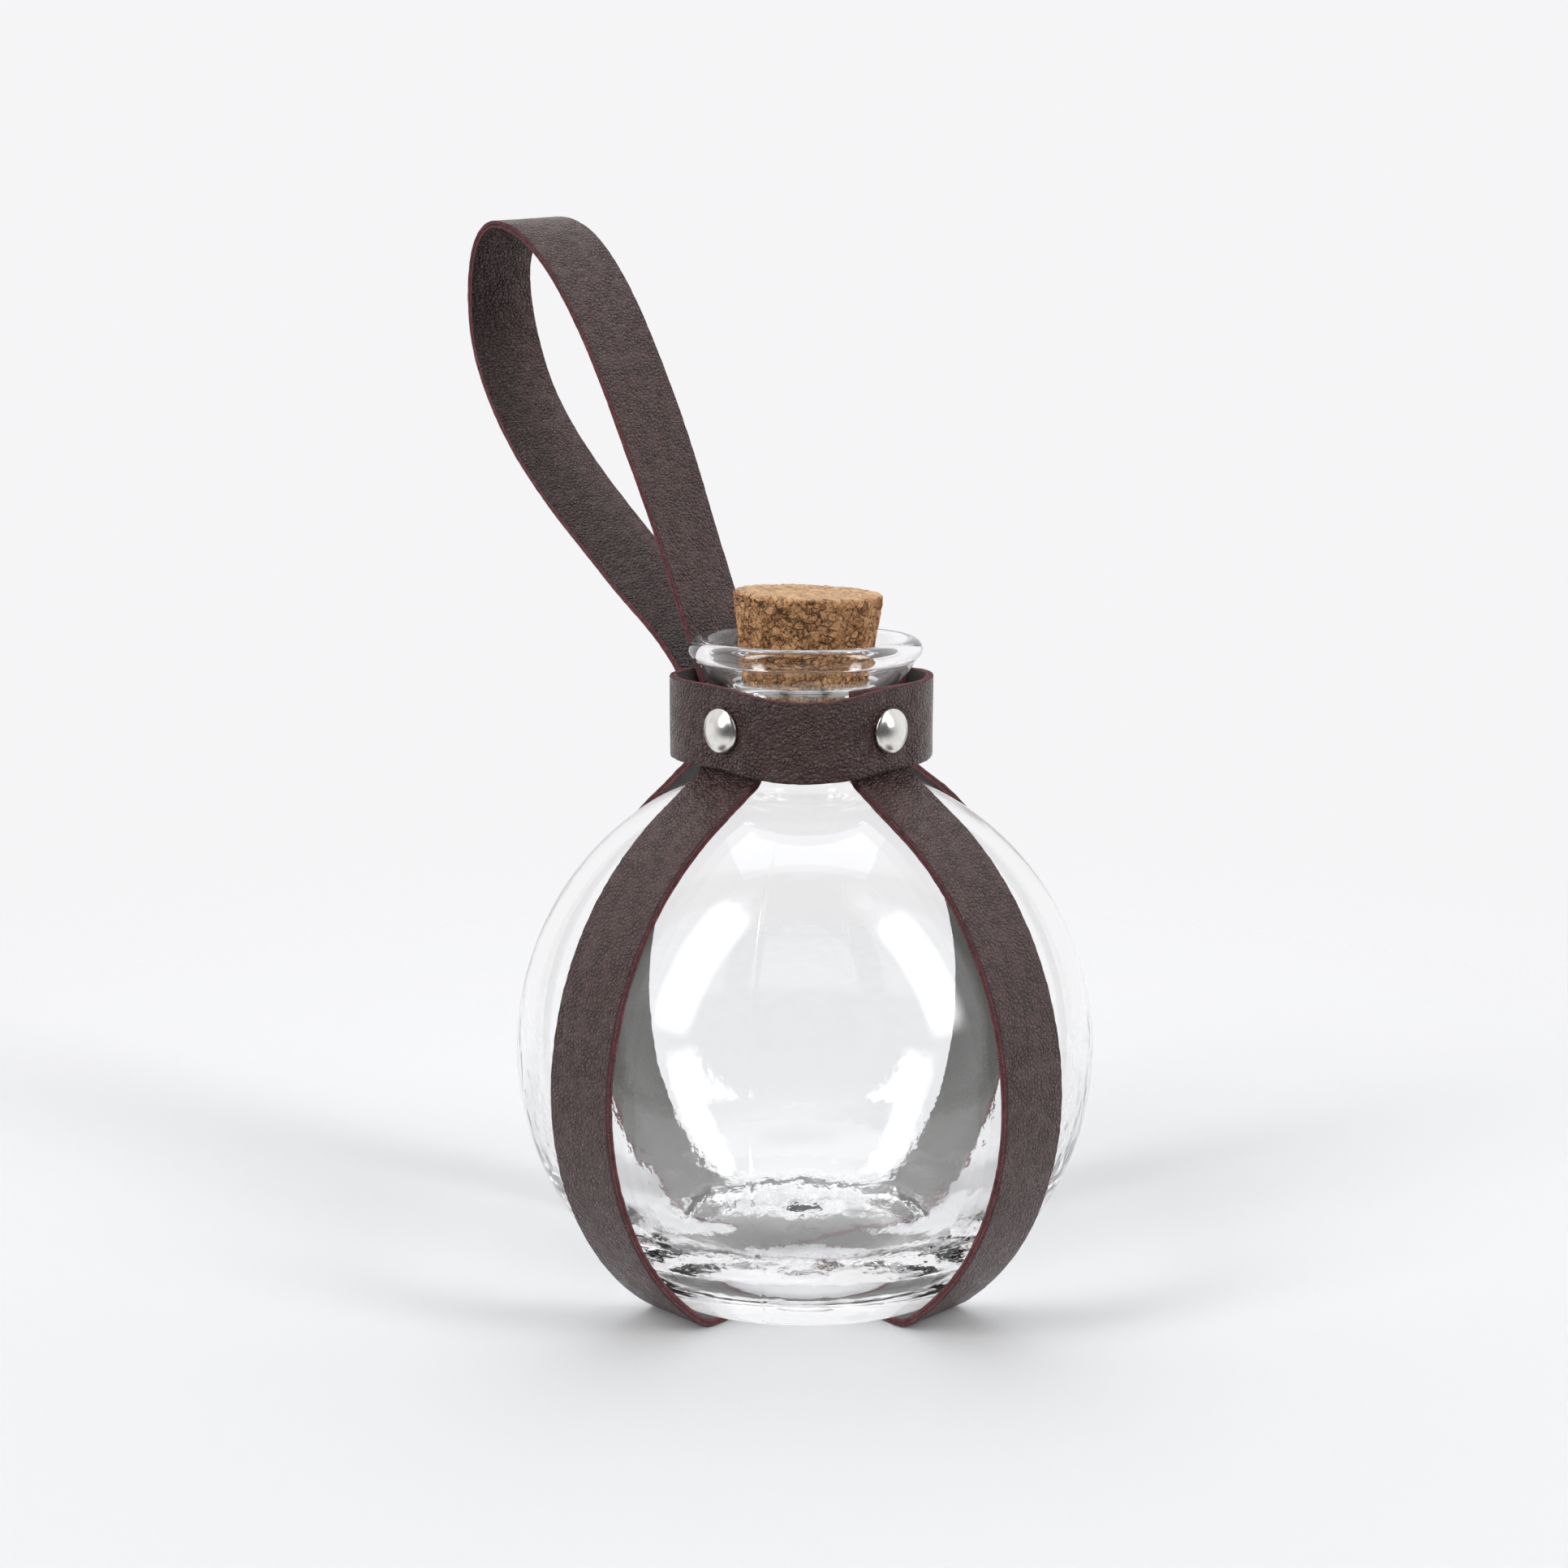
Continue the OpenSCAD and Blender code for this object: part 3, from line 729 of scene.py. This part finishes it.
def bottle_profile(look):
    """The bottle's half section from the middle of the punt, up outside and down inside."""
    wall, floor = look.wall / MM, look.floor / MM
    lip_r, bead_r, neck_r = 21.5, 2.0, 15.3
    shoulder = 4.0
    shoulder_x = neck_r + shoulder
    shoulder_z = GLOBE_Z + math.sqrt((GLOBE_R + shoulder) ** 2 - shoulder_x**2)
    shoulder_turn = math.degrees(math.atan2(shoulder_z - GLOBE_Z, shoulder_x))
    bowl_top_r = lip_r - 1.3
    bead = (lip_r - bead_r, LIP_Z - bead_r)
    bead_in = math.degrees(math.acos((bowl_top_r - bead[0]) / bead_r))
    bowl_z = LIP_Z - 2 * bead_r - 4.9
    punt_half, punt_h = 26.0, 3.4
    punt_r = (punt_half**2 + punt_h**2) / (2 * punt_h)
    punt_turn = math.degrees(math.asin(punt_half / punt_r))
    outer = arc((0, BASE_Z + punt_h - punt_r), punt_r, 90, 90 - punt_turn, 1.6)
    outer += arc((HEEL_X, HEEL_Z), HEEL_R, -90, -HEEL_TURN, 0.6)
    outer += arc((0, GLOBE_Z), GLOBE_R, -HEEL_TURN, shoulder_turn, 1.6)
    outer += arc((shoulder_x, shoulder_z), shoulder, 180 + shoulder_turn, 180, 0.6)
    outer += bulge_arc((neck_r, bowl_z), (bowl_top_r, LIP_Z - 2 * bead_r), 9.0)
    outer += arc(bead, bead_r, -bead_in, 222, 0.3)
    bead_foot = outer[-1]
    cork_base = CORK_LOW.z
    throat = 10.8
    seat_z = LIP_Z - 8
    seat_r = throat + (seat_z - cork_base) * CORK_TAPER / 2 / (CORK_HIGH.z - cork_base)
    inner_r = GLOBE_R - wall
    round_r = 2 * wall
    edge_z = GLOBE_Z + math.sqrt((inner_r + round_r) ** 2 - (throat + round_r) ** 2)
    edge_turn = math.degrees(math.atan2(edge_z - GLOBE_Z, throat + round_r))
    floor_z = BASE_Z + floor
    corner = 28.0
    corner_up = GLOBE_Z - floor_z - corner
    corner_x = math.sqrt((inner_r - corner) ** 2 - corner_up**2)
    corner_turn = math.degrees(math.atan2(corner_up, corner_x))
    inner = bulge_arc((seat_r, seat_z), bead_foot + Vector((-0.02, -0.06)), 7.0)[::-1]
    inner += [Vector((throat, cork_base))]
    inner += arc((throat + round_r, edge_z), round_r, 180, 180 + edge_turn, 0.8)
    inner += arc((0, GLOBE_Z), inner_r, edge_turn, -corner_turn, 1.0)
    inner += arc((corner_x, floor_z + corner), corner, -corner_turn, -90, 1.0)
    # The floor rises to a low dome with a small nub in its middle
    for i in range(1, 29):
        r = corner_x * (1 - i / 28)
        dome = 2.2 * (1 - (r / corner_x) ** 2)
        nub = 0.9 * (1 - smooth_step((r - 1.2) / 3.2))
        inner.append(Vector((r, floor_z + dome + nub)))
    return outer, inner, floor_z


class CANTEEN_OT_blow_bottle(bpy.types.Operator):
    """Makes the glass bottle"""

    bl_idname = "canteen.blow_bottle"
    bl_label = "Blow the bottle"

    def execute(self, context):
        look = context.scene.canteen_glass
        outer, inner, floor_z = bottle_profile(look)
        line = [Vector((max(p.x, 0.0), p.y)) for p in outer + inner]
        tidy = [line[0]]
        for p in line[1:]:
            if (p - tidy[-1]).length > 0.03:
                tidy.append(p)
        tidy[0].x = tidy[-1].x = 0.0
        bm = spun(tidy, 160)
        ripple = bm.verts.layers.float.new("ripple")
        seam_turn = math.radians(-55.6)
        # Mould seams: a fine raised line down two sides
        for side in (-0.35, 0.0, 0.35):
            turn = seam_turn + math.radians(side)
            across = Vector((-math.sin(turn), math.cos(turn), 0))
            bmesh.ops.bisect_plane(
                bm, geom=bm.verts[:] + bm.edges[:] + bm.faces[:], dist=1e-4,
                plane_co=(0, 0, 0), plane_no=across,
            )
        bm.normal_update()
        along_seam = Vector((math.cos(seam_turn), math.sin(seam_turn), 0))
        across_seam = Vector((-along_seam.y, along_seam.x, 0))
        for v in bm.verts:
            r = math.hypot(v.co.x, v.co.y)
            from_globe = (v.co - Vector((0, 0, GLOBE_Z))).length
            is_inner = v.co.z < GLOBE_Z + 40 and from_globe < GLOBE_R - 1.5 and v.co.z > floor_z - 1.0
            if is_inner:
                share = 1 - smooth_step((v.co.z - GLOBE_Z + 12) / 26)
                v[ripple] = 0.04 + 0.96 * share
                wave = noise.noise(v.co / 10) * 0.035 + noise.noise(v.co / 4 + Vector((9, 3, 1))) * 0.010
                v.co += v.normal * wave * share
            elif r > 20 and v.co.z < GLOBE_Z + 45:
                side = abs(v.co.dot(across_seam))
                if side < 0.15:
                    v.co += Vector((v.co.x, v.co.y, 0)).normalized() * 0.09
                wave = noise.noise(v.co / 22 + Vector((2, 8, 5))) * 0.04
                v.co += v.normal * wave
        finish_mesh(
            "blown_bottle", bm, [glass_material(look)], "bottle", ["glass_bottle"]
        )
        return {"FINISHED"}


# ---- Cork ----


class CANTEEN_OT_cut_cork(bpy.types.Operator):
    """Makes the cork stopper"""

    bl_idname = "canteen.cut_cork"
    bl_label = "Cut the cork"

    def execute(self, context):
        look = context.scene.canteen_cork
        low, high = CORK_LOW.z, CORK_HIGH.z
        top_r, low_r, worn = 13.75, 10.7, 0.55
        line = [Vector((0, low)), Vector((low_r - worn, low)), Vector((low_r, low + worn))]
        line += [Vector((top_r, high - worn)), Vector((top_r - worn, high)), Vector((0, high))]
        line = evenly(line, 0.42)
        line[0].x = line[-1].x = 0.0
        bm = spun(line, 180)
        cut_top = bm.verts.layers.float.new("cut_top")
        bm.normal_update()
        turn = Matrix.Rotation(look.lean, 4, Vector((0.707, -0.707, 0)))
        mouth = Vector((0, 0, LIP_Z - 6))
        tilt = Matrix.Translation(mouth) @ turn @ Matrix.Translation(-mouth)
        for v in bm.verts:
            v[cut_top] = smooth_step((v.co.z - high + 0.35) / 0.3)
            above = smooth_step((v.co.z - LIP_Z + 7) / 3)
            flat_share = 1 - 0.7 * v[cut_top]
            pit = max(noise.noise(v.co * 0.62 + Vector((4, 4, 4))) - 0.30, 0) * 2.2 * flat_share
            pit += max(noise.noise(v.co * 1.5) - 0.25, 0) * 0.8 * flat_share
            chipped = max(noise.noise(v.co * 0.9 + Vector((1, 7, 3))), 0) * 0.5
            edge = smooth_step((math.hypot(v.co.x, v.co.y) - top_r + 1.0) / 0.8)
            edge *= smooth_step((v.co.z - high + 1.2) / 1.0)
            rough = noise.noise(v.co * 1.1) * 0.16 + noise.noise(v.co * 2.6) * 0.09
            v.co += v.normal * (rough - above * min(pit, 0.75) - edge * chipped)
        bmesh.ops.transform(bm, matrix=tilt, verts=bm.verts)
        finish_mesh("cork", bm, [cork_material(look)], "cork", ["cork_stopper"])
        return {"FINISHED"}


# ---- Collar ----


def collar_corner(side_x, side_y, start, lift=0.0):
    """One quarter of the collar's middle line, moved out by up to lift at its end."""
    radius = COLLAR_CORNER - STRAP_T / 2
    centre = Vector((
        side_x - math.copysign(COLLAR_CORNER, side_x), side_y - math.copysign(COLLAR_CORNER, side_y)
    ))
    points = []
    for i in range(61):
        a = 90 * i / 60
        turn = math.radians(start + a)
        reach = radius + lift * smooth_step((a - 35) / 45)
        points.append(centre + reach * Vector((math.cos(turn), math.sin(turn))))
    return points


def collar_line():
    """From under the right rivet, round the neck, and over its own start."""
    s = COLLAR_SIDE
    y = s - STRAP_T / 2
    line = [Vector((s - COLLAR_CORNER, y))]
    line += collar_corner(-COLLAR_BACK, s, 90)
    line += collar_corner(-COLLAR_BACK, -s, 180)
    line += collar_corner(s, -s, 270)
    line += collar_corner(s, s, 0, LAP_OUT)
    line += [Vector((-STRAP_W / 2, y + LAP_OUT))]
    return line


RIVETS = (("front", 0), ("left", -90), ("right", 90), ("handle_side", 180))


class CANTEEN_OT_wrap_collar(bpy.types.Operator):
    """Makes the collar strip"""

    bl_idname = "canteen.wrap_collar"
    bl_label = "Wrap the collar"

    def execute(self, context):
        middle = (COLLAR_Z + COLLAR_TOP) / 2
        points = [Vector((p.x, p.y, middle)) for p in evenly(collar_line(), STRAP_STEP)]
        frames = frames_along(points, lambda i, p: Vector((0, 0, 1)))
        bm = strap(COLLAR_TOP - COLLAR_Z, STRAP_T, frames)
        bm.normal_update()
        ruffle(bm, 0.10, 9.0, 3.0)
        fray(bm, 0.10)
        corner = Vector((1, -1, 0)).normalized()
        for v in bm.verts:
            flat = Vector((v.co.x, v.co.y, 0))
            out = flat.normalized()
            facing = max(out.dot(corner), 0.0)
            # The front corner sags, and its lower edge flares out a little over the legs
            top = smooth_step((v.co.z - COLLAR_Z) / (COLLAR_TOP - COLLAR_Z))
            v.co.z -= (1.25 + 0.6 * top) * facing**5
            low = smooth_step((middle - v.co.z) / 8)
            v.co += out * 0.22 * low * facing**2
            for name, azimuth in RIVETS:
                turn = math.radians(azimuth)
                axis = Vector((math.cos(turn), math.sin(turn), 0))
                if flat.dot(axis) < 10:
                    continue
                away = math.hypot(flat.cross(axis).z, v.co.z - RIVET_Z)
                v.co -= axis * 0.22 * math.exp(-((away / 4.6) ** 2))
        leather = bpy.data.materials["strap leather"]
        finish_mesh("collar", bm, [leather], "harness", ["collar_strap"])
        return {"FINISHED"}


# ---- Cradle straps ----


def leg_line(u, drop, lift):
    """Middle line of one leg from its top inside the collar down to the middle of the base."""
    bend_r, step_r = 3.5, 5.0
    strap_globe = GLOBE_R + GLASS_GAP + STRAP_T / 2
    strap_heel = HEEL_R + GLASS_GAP + STRAP_T / 2
    bend_z = COLLAR_Z + 0.5
    across, up = u + bend_r, bend_z - GLOBE_Z
    touch = math.degrees(
        math.atan2(across, up) + math.acos((strap_globe + bend_r) / math.hypot(across, up))
    )
    z = STRAP_T / 2
    line = [Vector((u, COLLAR_TOP - drop))]
    line += arc((u + bend_r, bend_z), bend_r, 180, 270 - touch)
    line += arc((0, GLOBE_Z), strap_globe, 90 - touch, -HEEL_TURN)
    line += arc((HEEL_X, HEEL_Z), strap_heel, -HEEL_TURN, -90)
    if lift > 0:
        climb = math.degrees(math.acos(1 - lift / (2 * step_r)))
        inner_x = STRAP_W / 2 + 1
        outer_x = inner_x + 2 * step_r * math.sin(math.radians(climb))
        line += arc((outer_x, z + step_r), step_r, -90, -90 - climb)
        line += arc((inner_x, z + lift - step_r), step_r, 90 - climb, 90)
    line.append(Vector((0, z + lift)))
    return line


class CANTEEN_OT_cross_straps(bpy.types.Operator):
    """Makes the two straps that cross under the base"""

    bl_idname = "canteen.cross_straps"
    bl_label = "Cross the straps"

    def cradle(self, name, first, second, turn, seed, replaced):
        line = first + [Vector((-p.x, p.y)) for p in reversed(second)]
        points = [Vector((p.x, 0, p.y)) for p in evenly(line, STRAP_STEP)]
        frames = frames_along(points, lambda i, p: Vector((0, 1, 0)))
        bm = strap(STRAP_W, STRAP_T, frames)
        bm.normal_update()
        ruffle(bm, 0.10, 11.0, seed)
        fray(bm, 0.10)
        bmesh.ops.rotate(bm, cent=(0, 0, 0), matrix=Matrix.Rotation(turn, 3, "Z"), verts=bm.verts)
        leather = bpy.data.materials["strap leather"]
        finish_mesh(name, bm, [leather], "harness", [replaced])

    def execute(self, context):
        self.cradle(
            "lower_cradle_strap", leg_line(LEG_SIDE, 0.5, 0), leg_line(LEG_BACK, 4.4, 0),
            0.0, 5.0, "cradle_strap_lower",
        )
        self.cradle(
            "upper_cradle_strap", leg_line(LEG_SIDE, 1.0, STRAP_T), leg_line(LEG_SIDE, 3.0, STRAP_T),
            math.pi / 2, 8.0, "cradle_strap_upper",
        )
        return {"FINISHED"}


# ---- Handle ----


def handle_line():
    """Middle line of the handle from its end inside the collar, round the loop, to the outer end."""
    clamp = RIVET_Z + CAP_R - 0.5
    rise, reach, crown_in, crown_drop = 84.0, 64.0, 8.5, 12.0
    crown = Vector((-(COLLAR_BACK + reach - crown_in), COLLAR_TOP + rise))
    outermost = Vector((-(COLLAR_BACK + reach), crown.y - crown_drop))

    def lean(angle):
        return Vector((-math.sin(math.radians(angle)), math.cos(math.radians(angle))))

    inner_bend = arc((-INNER_END - 5, clamp), 5, 0, 24)
    outer_bend = arc((-OUTER_END - 3, clamp), 3, 0, 38)
    inner_root, outer_root = inner_bend[-1], outer_bend[-1]
    line = [Vector((-INNER_END, RIVET_Z - END_REACH))] + inner_bend
    line += cubic(
        inner_root, inner_root + 0.69 * rise * lean(24), crown + Vector((2.3 * crown_in, 0)), crown
    )
    line += cubic(
        crown, crown - Vector((0.67 * crown_in, 0)), outermost + Vector((0, 0.52 * crown_drop)), outermost
    )
    line += cubic(
        outermost, outermost - Vector((0, 2.9 * crown_drop)),
        outer_root + 0.47 * reach * lean(38), outer_root,
    )
    line += outer_bend[::-1] + [Vector((-OUTER_END, RIVET_Z - END_REACH))]
    return line


# Twist of the strap about its own run, in degrees, by share of the way from the inner end
HANDLE_TWIST = (
    (0.0, 0.0), (0.14, 0.0), (0.27, 8.0), (0.42, 12.0), (0.52, 2.0),
    (0.62, -12.0), (0.74, -16.0), (0.84, -15.0), (0.94, 0.0), (1.0, 0.0),
)


class CANTEEN_OT_bend_handle(bpy.types.Operator):
    """Makes the loop handle's two bonded layers"""

    bl_idname = "canteen.bend_handle"
    bl_label = "Bend the handle"

    def layer(self, name, outwards, replaced):
        points = [Vector((p.x, 0, p.y)) for p in evenly(handle_line(), STRAP_STEP)]
        last = len(points) - 1
        plain = frames_along(points, lambda i, p: Vector((0, -outwards, 0)))
        frames = []
        for i, seat in enumerate(plain):
            twist = -math.radians(keyed(HANDLE_TWIST, i / last))
            out = Matrix.Translation((0, STRAP_T / 4 + 0.01, 0))
            frames.append(seat @ Matrix.Rotation(twist, 4, "Z") @ out)
        bm = strap(STRAP_W, STRAP_T / 2, frames, rounding=0.17, cuts_through=2, backing=0.0)
        bm.normal_update()
        ruffle(bm, 0.03, 8.0, 1.0)
        fray(bm, 0.07)
        leather = bpy.data.materials["handle leather"]
        piece = finish_mesh(name, bm, [leather], None, replaced)
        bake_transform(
            piece, "harness", "handle",
            start=(-0.024, 0, 0.1115), end=(-0.024, 0, 0.127),
        )
        return piece

    def execute(self, context):
        self.layer(
            "handle_face", 1, ["handle_face_layer", "handle_inner_end_face", "handle_outer_end_face"]
        )
        self.layer(
            "handle_lining", -1,
            ["handle_lining_layer", "handle_inner_end_lining", "handle_outer_end_lining"],
        )
        return {"FINISHED"}


# ---- Rivets ----


class CANTEEN_OT_set_rivets(bpy.types.Operator):
    """Makes the four double-cap rivets"""

    bl_idname = "canteen.set_rivets"
    bl_label = "Set the rivets"

    def place(self, bm, azimuth, distance):
        turn = Matrix.Rotation(math.radians(azimuth), 4, "Z")
        lay = Matrix.Rotation(math.pi / 2, 4, "Y")
        move = Matrix.Translation((distance, 0, RIVET_Z))
        bmesh.ops.transform(bm, matrix=turn @ move @ lay, verts=bm.verts)
        return bm

    def cap(self, name, azimuth, seat, node_name):
        under, shoulder, crown = 0.30, 0.95, 0.95
        socket = 0.9
        line = [Vector((0, socket)), Vector((SHANK_R, socket)), Vector((SHANK_R, 0.25))]
        line += [Vector((CAP_R - under, 0.0))]
        line += arc((CAP_R - under, under), under, -90, 0, 0.06)
        flat_r = CAP_R - shoulder
        dome_r = (flat_r**2 + crown**2) / (2 * crown)
        half = math.degrees(math.asin(flat_r / dome_r))
        # The shoulder turns from the rim's side into the shallow crown
        low = CAP_RISE - crown
        slope = math.tan(math.radians(half))
        line += cubic(
            Vector((CAP_R, under + 0.05)), Vector((CAP_R, low - 0.35)),
            Vector((flat_r + 0.55, low - 0.55 * slope)), Vector((flat_r, low)), 14,
        )
        line += arc((0, CAP_RISE - dome_r), dome_r, 90 - half, 90, 0.22)[1:]
        line[-1].x = 0.0
        bm = spun(line, 64)
        self.place(bm, azimuth, seat)
        nickel = bpy.data.materials["nickel plate"]
        finish_mesh(name, bm, [nickel], "harness", [node_name])

    def post(self, name, azimuth, inside, grip, node_name):
        cap_r, rise, round_r, edge, tip = 3.75, POST_RISE, 0.825, 0.12, 0.15
        line = [Vector((0, -rise))] + arc((cap_r - 1.1, -rise + round_r), round_r, -90, -20, 0.15)
        line += [Vector((cap_r, -edge)), Vector((cap_r - edge, 0.0)), Vector((SHANK_R, 0.0))]
        line += [Vector((SHANK_R, grip + 1.0 - tip)), Vector((SHANK_R - tip, grip + 1.0))]
        line += [Vector((0, grip + 1.0))]
        bm = spun(line, 48)
        self.place(bm, azimuth, inside)
        nickel = bpy.data.materials["nickel plate"]
        finish_mesh(name, bm, [nickel], "harness", [node_name])

    def execute(self, context):
        for name, azimuth in RIVETS:
            turn = math.radians(azimuth)
            axis = Vector((math.cos(turn), math.sin(turn), 0))
            low, high = box_mm("rivet_cap_" + name)
            seat = min(abs(low.dot(axis)), abs(high.dot(axis)))
            low, high = box_mm("rivet_post_" + name)
            inside = min(abs(low.dot(axis)), abs(high.dot(axis))) + POST_RISE
            self.cap("cap_" + name, azimuth, seat - 0.08, "rivet_cap_" + name)
            self.post("post_" + name, azimuth, inside, seat - inside, "rivet_post_" + name)
        return {"FINISHED"}


# ---- Shared finishes ----


class CANTEEN_OT_mix_finishes(bpy.types.Operator):
    """Makes the leather and metal finishes that several pieces share"""

    bl_idname = "canteen.mix_finishes"
    bl_label = "Mix the finishes"

    def execute(self, context):
        build_pebble_grain()
        build_cut_fibre()
        build_fine_dust()
        leather_material("strap leather", context.scene.canteen_leather, 0.75)
        leather_material("handle leather", context.scene.canteen_leather, 0.0)
        nickel_material(context.scene.canteen_metal)
        return {"FINISHED"}


# ---- Stage ----


class CANTEEN_OT_lay_stage(bpy.types.Operator):
    """Lays the floor and sets the room's light, the softbox and the camera"""

    bl_idname = "canteen.lay_stage"
    bl_label = "Lay the stage"

    def window(self, tree, azimuth, rise, half_wide, half_tall):
        """A tall bright window with soft edges, as a mask over the sky."""
        turn, up_turn = math.radians(azimuth), math.radians(rise)
        ahead = Vector((
            math.cos(turn) * math.cos(up_turn), math.sin(turn) * math.cos(up_turn), math.sin(up_turn)
        ))
        side = Vector((-math.sin(turn), math.cos(turn), 0))
        mask = 1.0
        for axis, low, high, first, last in (
            (ahead, 0.5, 0.6, 0.0, 1.0),
            (side, half_wide * 0.35, half_wide, 1.0, 0.0),
            (ahead.cross(side), half_tall * 0.6, half_tall, 1.0, 0.0),
        ):
            reach = node(tree, "VectorMath", operation="DOT_PRODUCT")
            tree.links.new(node(tree, "TexCoord").outputs["Generated"], reach.inputs[0])
            reach.inputs[1].default_value = axis
            way = calc(tree, "ABSOLUTE", reach.outputs["Value"]) if last < first else reach.outputs["Value"]
            mask = calc(tree, "MULTIPLY", mask, between(tree, way, low, high, first, last))
        return mask

    def softbox(self, name, azimuth, distance, height, size_x, size_y, power, colour):
        lamp = bpy.data.lights.new(name, "AREA")
        lamp.shape = "RECTANGLE"
        lamp.size, lamp.size_y = size_x, size_y
        lamp.energy = power
        lamp.color = colour
        spot = bpy.data.objects.new(name, lamp)
        bpy.context.scene.collection.objects.link(spot)
        turn = math.radians(azimuth)
        place = Vector((math.cos(turn) * distance, math.sin(turn) * distance, height))
        aim = Vector((0, 0, 0.08))
        face = (place - aim).to_track_quat("Z", "Y").to_matrix().to_4x4()
        spot.matrix_world = Matrix.Translation(place) @ face

    def execute(self, context):
        look = context.scene.canteen_stage
        bm = bmesh.new()
        bmesh.ops.create_circle(bm, cap_ends=True, cap_tris=False, segments=96, radius=3.0)
        mesh = bpy.data.meshes.new("floor")
        bm.to_mesh(mesh)
        bm.free()
        floor = bpy.data.objects.new("floor", mesh)
        bpy.context.scene.collection.objects.link(floor)
        material, tree, shader = new_material("pale paper")
        place = object_place(tree)
        tint = noisy(tree, place, 3.0, 2.0, 0.5).outputs["Fac"]
        pale = mixed(tree, tint, (*look.floor, 1), tuple(c * 0.99 for c in look.floor) + (1,))
        feed(tree, shader.inputs["Base Color"], pale)
        shader.inputs["Roughness"].default_value = 0.9
        shader.inputs["Specular IOR Level"].default_value = 0.1
        # The paper fades into the light round it, so that no edge shows
        reach = node(tree, "VectorMath", operation="LENGTH")
        tree.links.new(place, reach.inputs[0])
        feed(tree, shader.inputs["Alpha"], between(tree, reach.outputs["Value"], 0.11, 0.42, 1.0, 0.0))
        mesh.materials.append(material)

        world = bpy.data.worlds.new("soft room")
        bpy.context.scene.world = world
        world.use_nodes = True
        sky_tree = world.node_tree
        back = next(n for n in sky_tree.nodes if n.type == "BACKGROUND")
        # The room is white behind and beside the object and darker where the viewer stands
        view = -45
        ahead = Vector((math.cos(math.radians(view)), math.sin(math.radians(view)), 0.25)).normalized()
        facing = node(sky_tree, "VectorMath", operation="DOT_PRODUCT")
        sky_tree.links.new(node(sky_tree, "TexCoord").outputs["Generated"], facing.inputs[0])
        facing.inputs[1].default_value = ahead
        dark = between(sky_tree, facing.outputs["Value"], -0.15, 0.75)
        tone = mixed(sky_tree, dark, (0.990, 0.985, 1.0, 1), (*look.dark_room, 1))
        panes = ((view - 57, 38, 0.17, 0.46), (view + 60, 34, 0.16, 0.42))
        for azimuth, rise, half_wide, half_tall in panes:
            pane = self.window(sky_tree, azimuth, rise, half_wide, half_tall)
            tone = mixed(sky_tree, pane, tone, (look.window, look.window, look.window, 1))
        feed(sky_tree, back.inputs["Color"], tone)
        back.inputs["Strength"].default_value = look.sky
        self.softbox("overhead softbox", view + 180, 0.5, 1.5, 1.2, 1.2, look.softbox, (0.97, 0.98, 1))

        camera = bpy.data.cameras.new("camera")
        camera.lens = 54.04
        camera.sensor_width = 36
        seat = bpy.data.objects.new("camera", camera)
        bpy.context.scene.collection.objects.link(seat)
        turn, dip = math.radians(45), math.radians(10.3)
        back_way = Vector((math.sin(turn) * math.cos(dip), -math.cos(turn) * math.cos(dip), math.sin(dip)))
        right = Vector((math.cos(turn), math.sin(turn), 0))
        up = back_way.cross(right)
        look_at = Matrix((right, up, back_way)).transposed().to_4x4()
        seat.matrix_world = Matrix.Translation((0.3005, -0.3060, 0.1728)) @ look_at
        bpy.context.scene.camera = seat
        scene = bpy.context.scene
        scene.view_settings.view_transform = "Standard"
        # Light is turned back many times inside the heavy base
        scene.cycles.max_bounces = 24
        scene.cycles.glossy_bounces = 16
        scene.cycles.transmission_bounces = 20
        return {"FINISHED"}


class CANTEEN_PT_panel(bpy.types.Panel):
    """Lists the canteen's settings and steps"""

    bl_idname = "CANTEEN_PT_panel"
    bl_label = "Globe canteen"
    bl_space_type = "VIEW_3D"
    bl_region_type = "UI"
    bl_category = "Canteen"

    def draw(self, context):
        layout = self.layout
        for holder in HOLDERS:
            settings = getattr(context.scene, holder)
            section = layout.box()
            section.label(text=holder.split("_")[1].capitalize())
            for key in settings.__annotations__:
                section.prop(settings, key)
        for operator in OPERATORS:
            layout.operator(operator.bl_idname)


SETTINGS = {
    "canteen_leather": CanteenLeather,
    "canteen_cork": CanteenCork,
    "canteen_metal": CanteenMetal,
    "canteen_glass": CanteenGlass,
    "canteen_stage": CanteenStage,
}
HOLDERS = tuple(SETTINGS)
OPERATORS = (
    CANTEEN_OT_mix_finishes,
    CANTEEN_OT_lay_stage,
    CANTEEN_OT_blow_bottle,
    CANTEEN_OT_cut_cork,
    CANTEEN_OT_wrap_collar,
    CANTEEN_OT_cross_straps,
    CANTEEN_OT_bend_handle,
    CANTEEN_OT_set_rivets,
)
CLASSES = tuple(SETTINGS.values()) + OPERATORS + (CANTEEN_PT_panel,)


def register():
    for cls in CLASSES:
        bpy.utils.register_class(cls)
    for holder, cls in SETTINGS.items():
        setattr(bpy.types.Scene, holder, bpy.props.PointerProperty(type=cls))


def unregister():
    for holder in SETTINGS:
        delattr(bpy.types.Scene, holder)
    for cls in reversed(CLASSES):
        bpy.utils.unregister_class(cls)


def main():
    register()
    for operator in OPERATORS:
        family, name = operator.bl_idname.split(".")
        getattr(getattr(bpy.ops, family), name)()


if __name__ == "__main__":
    main()
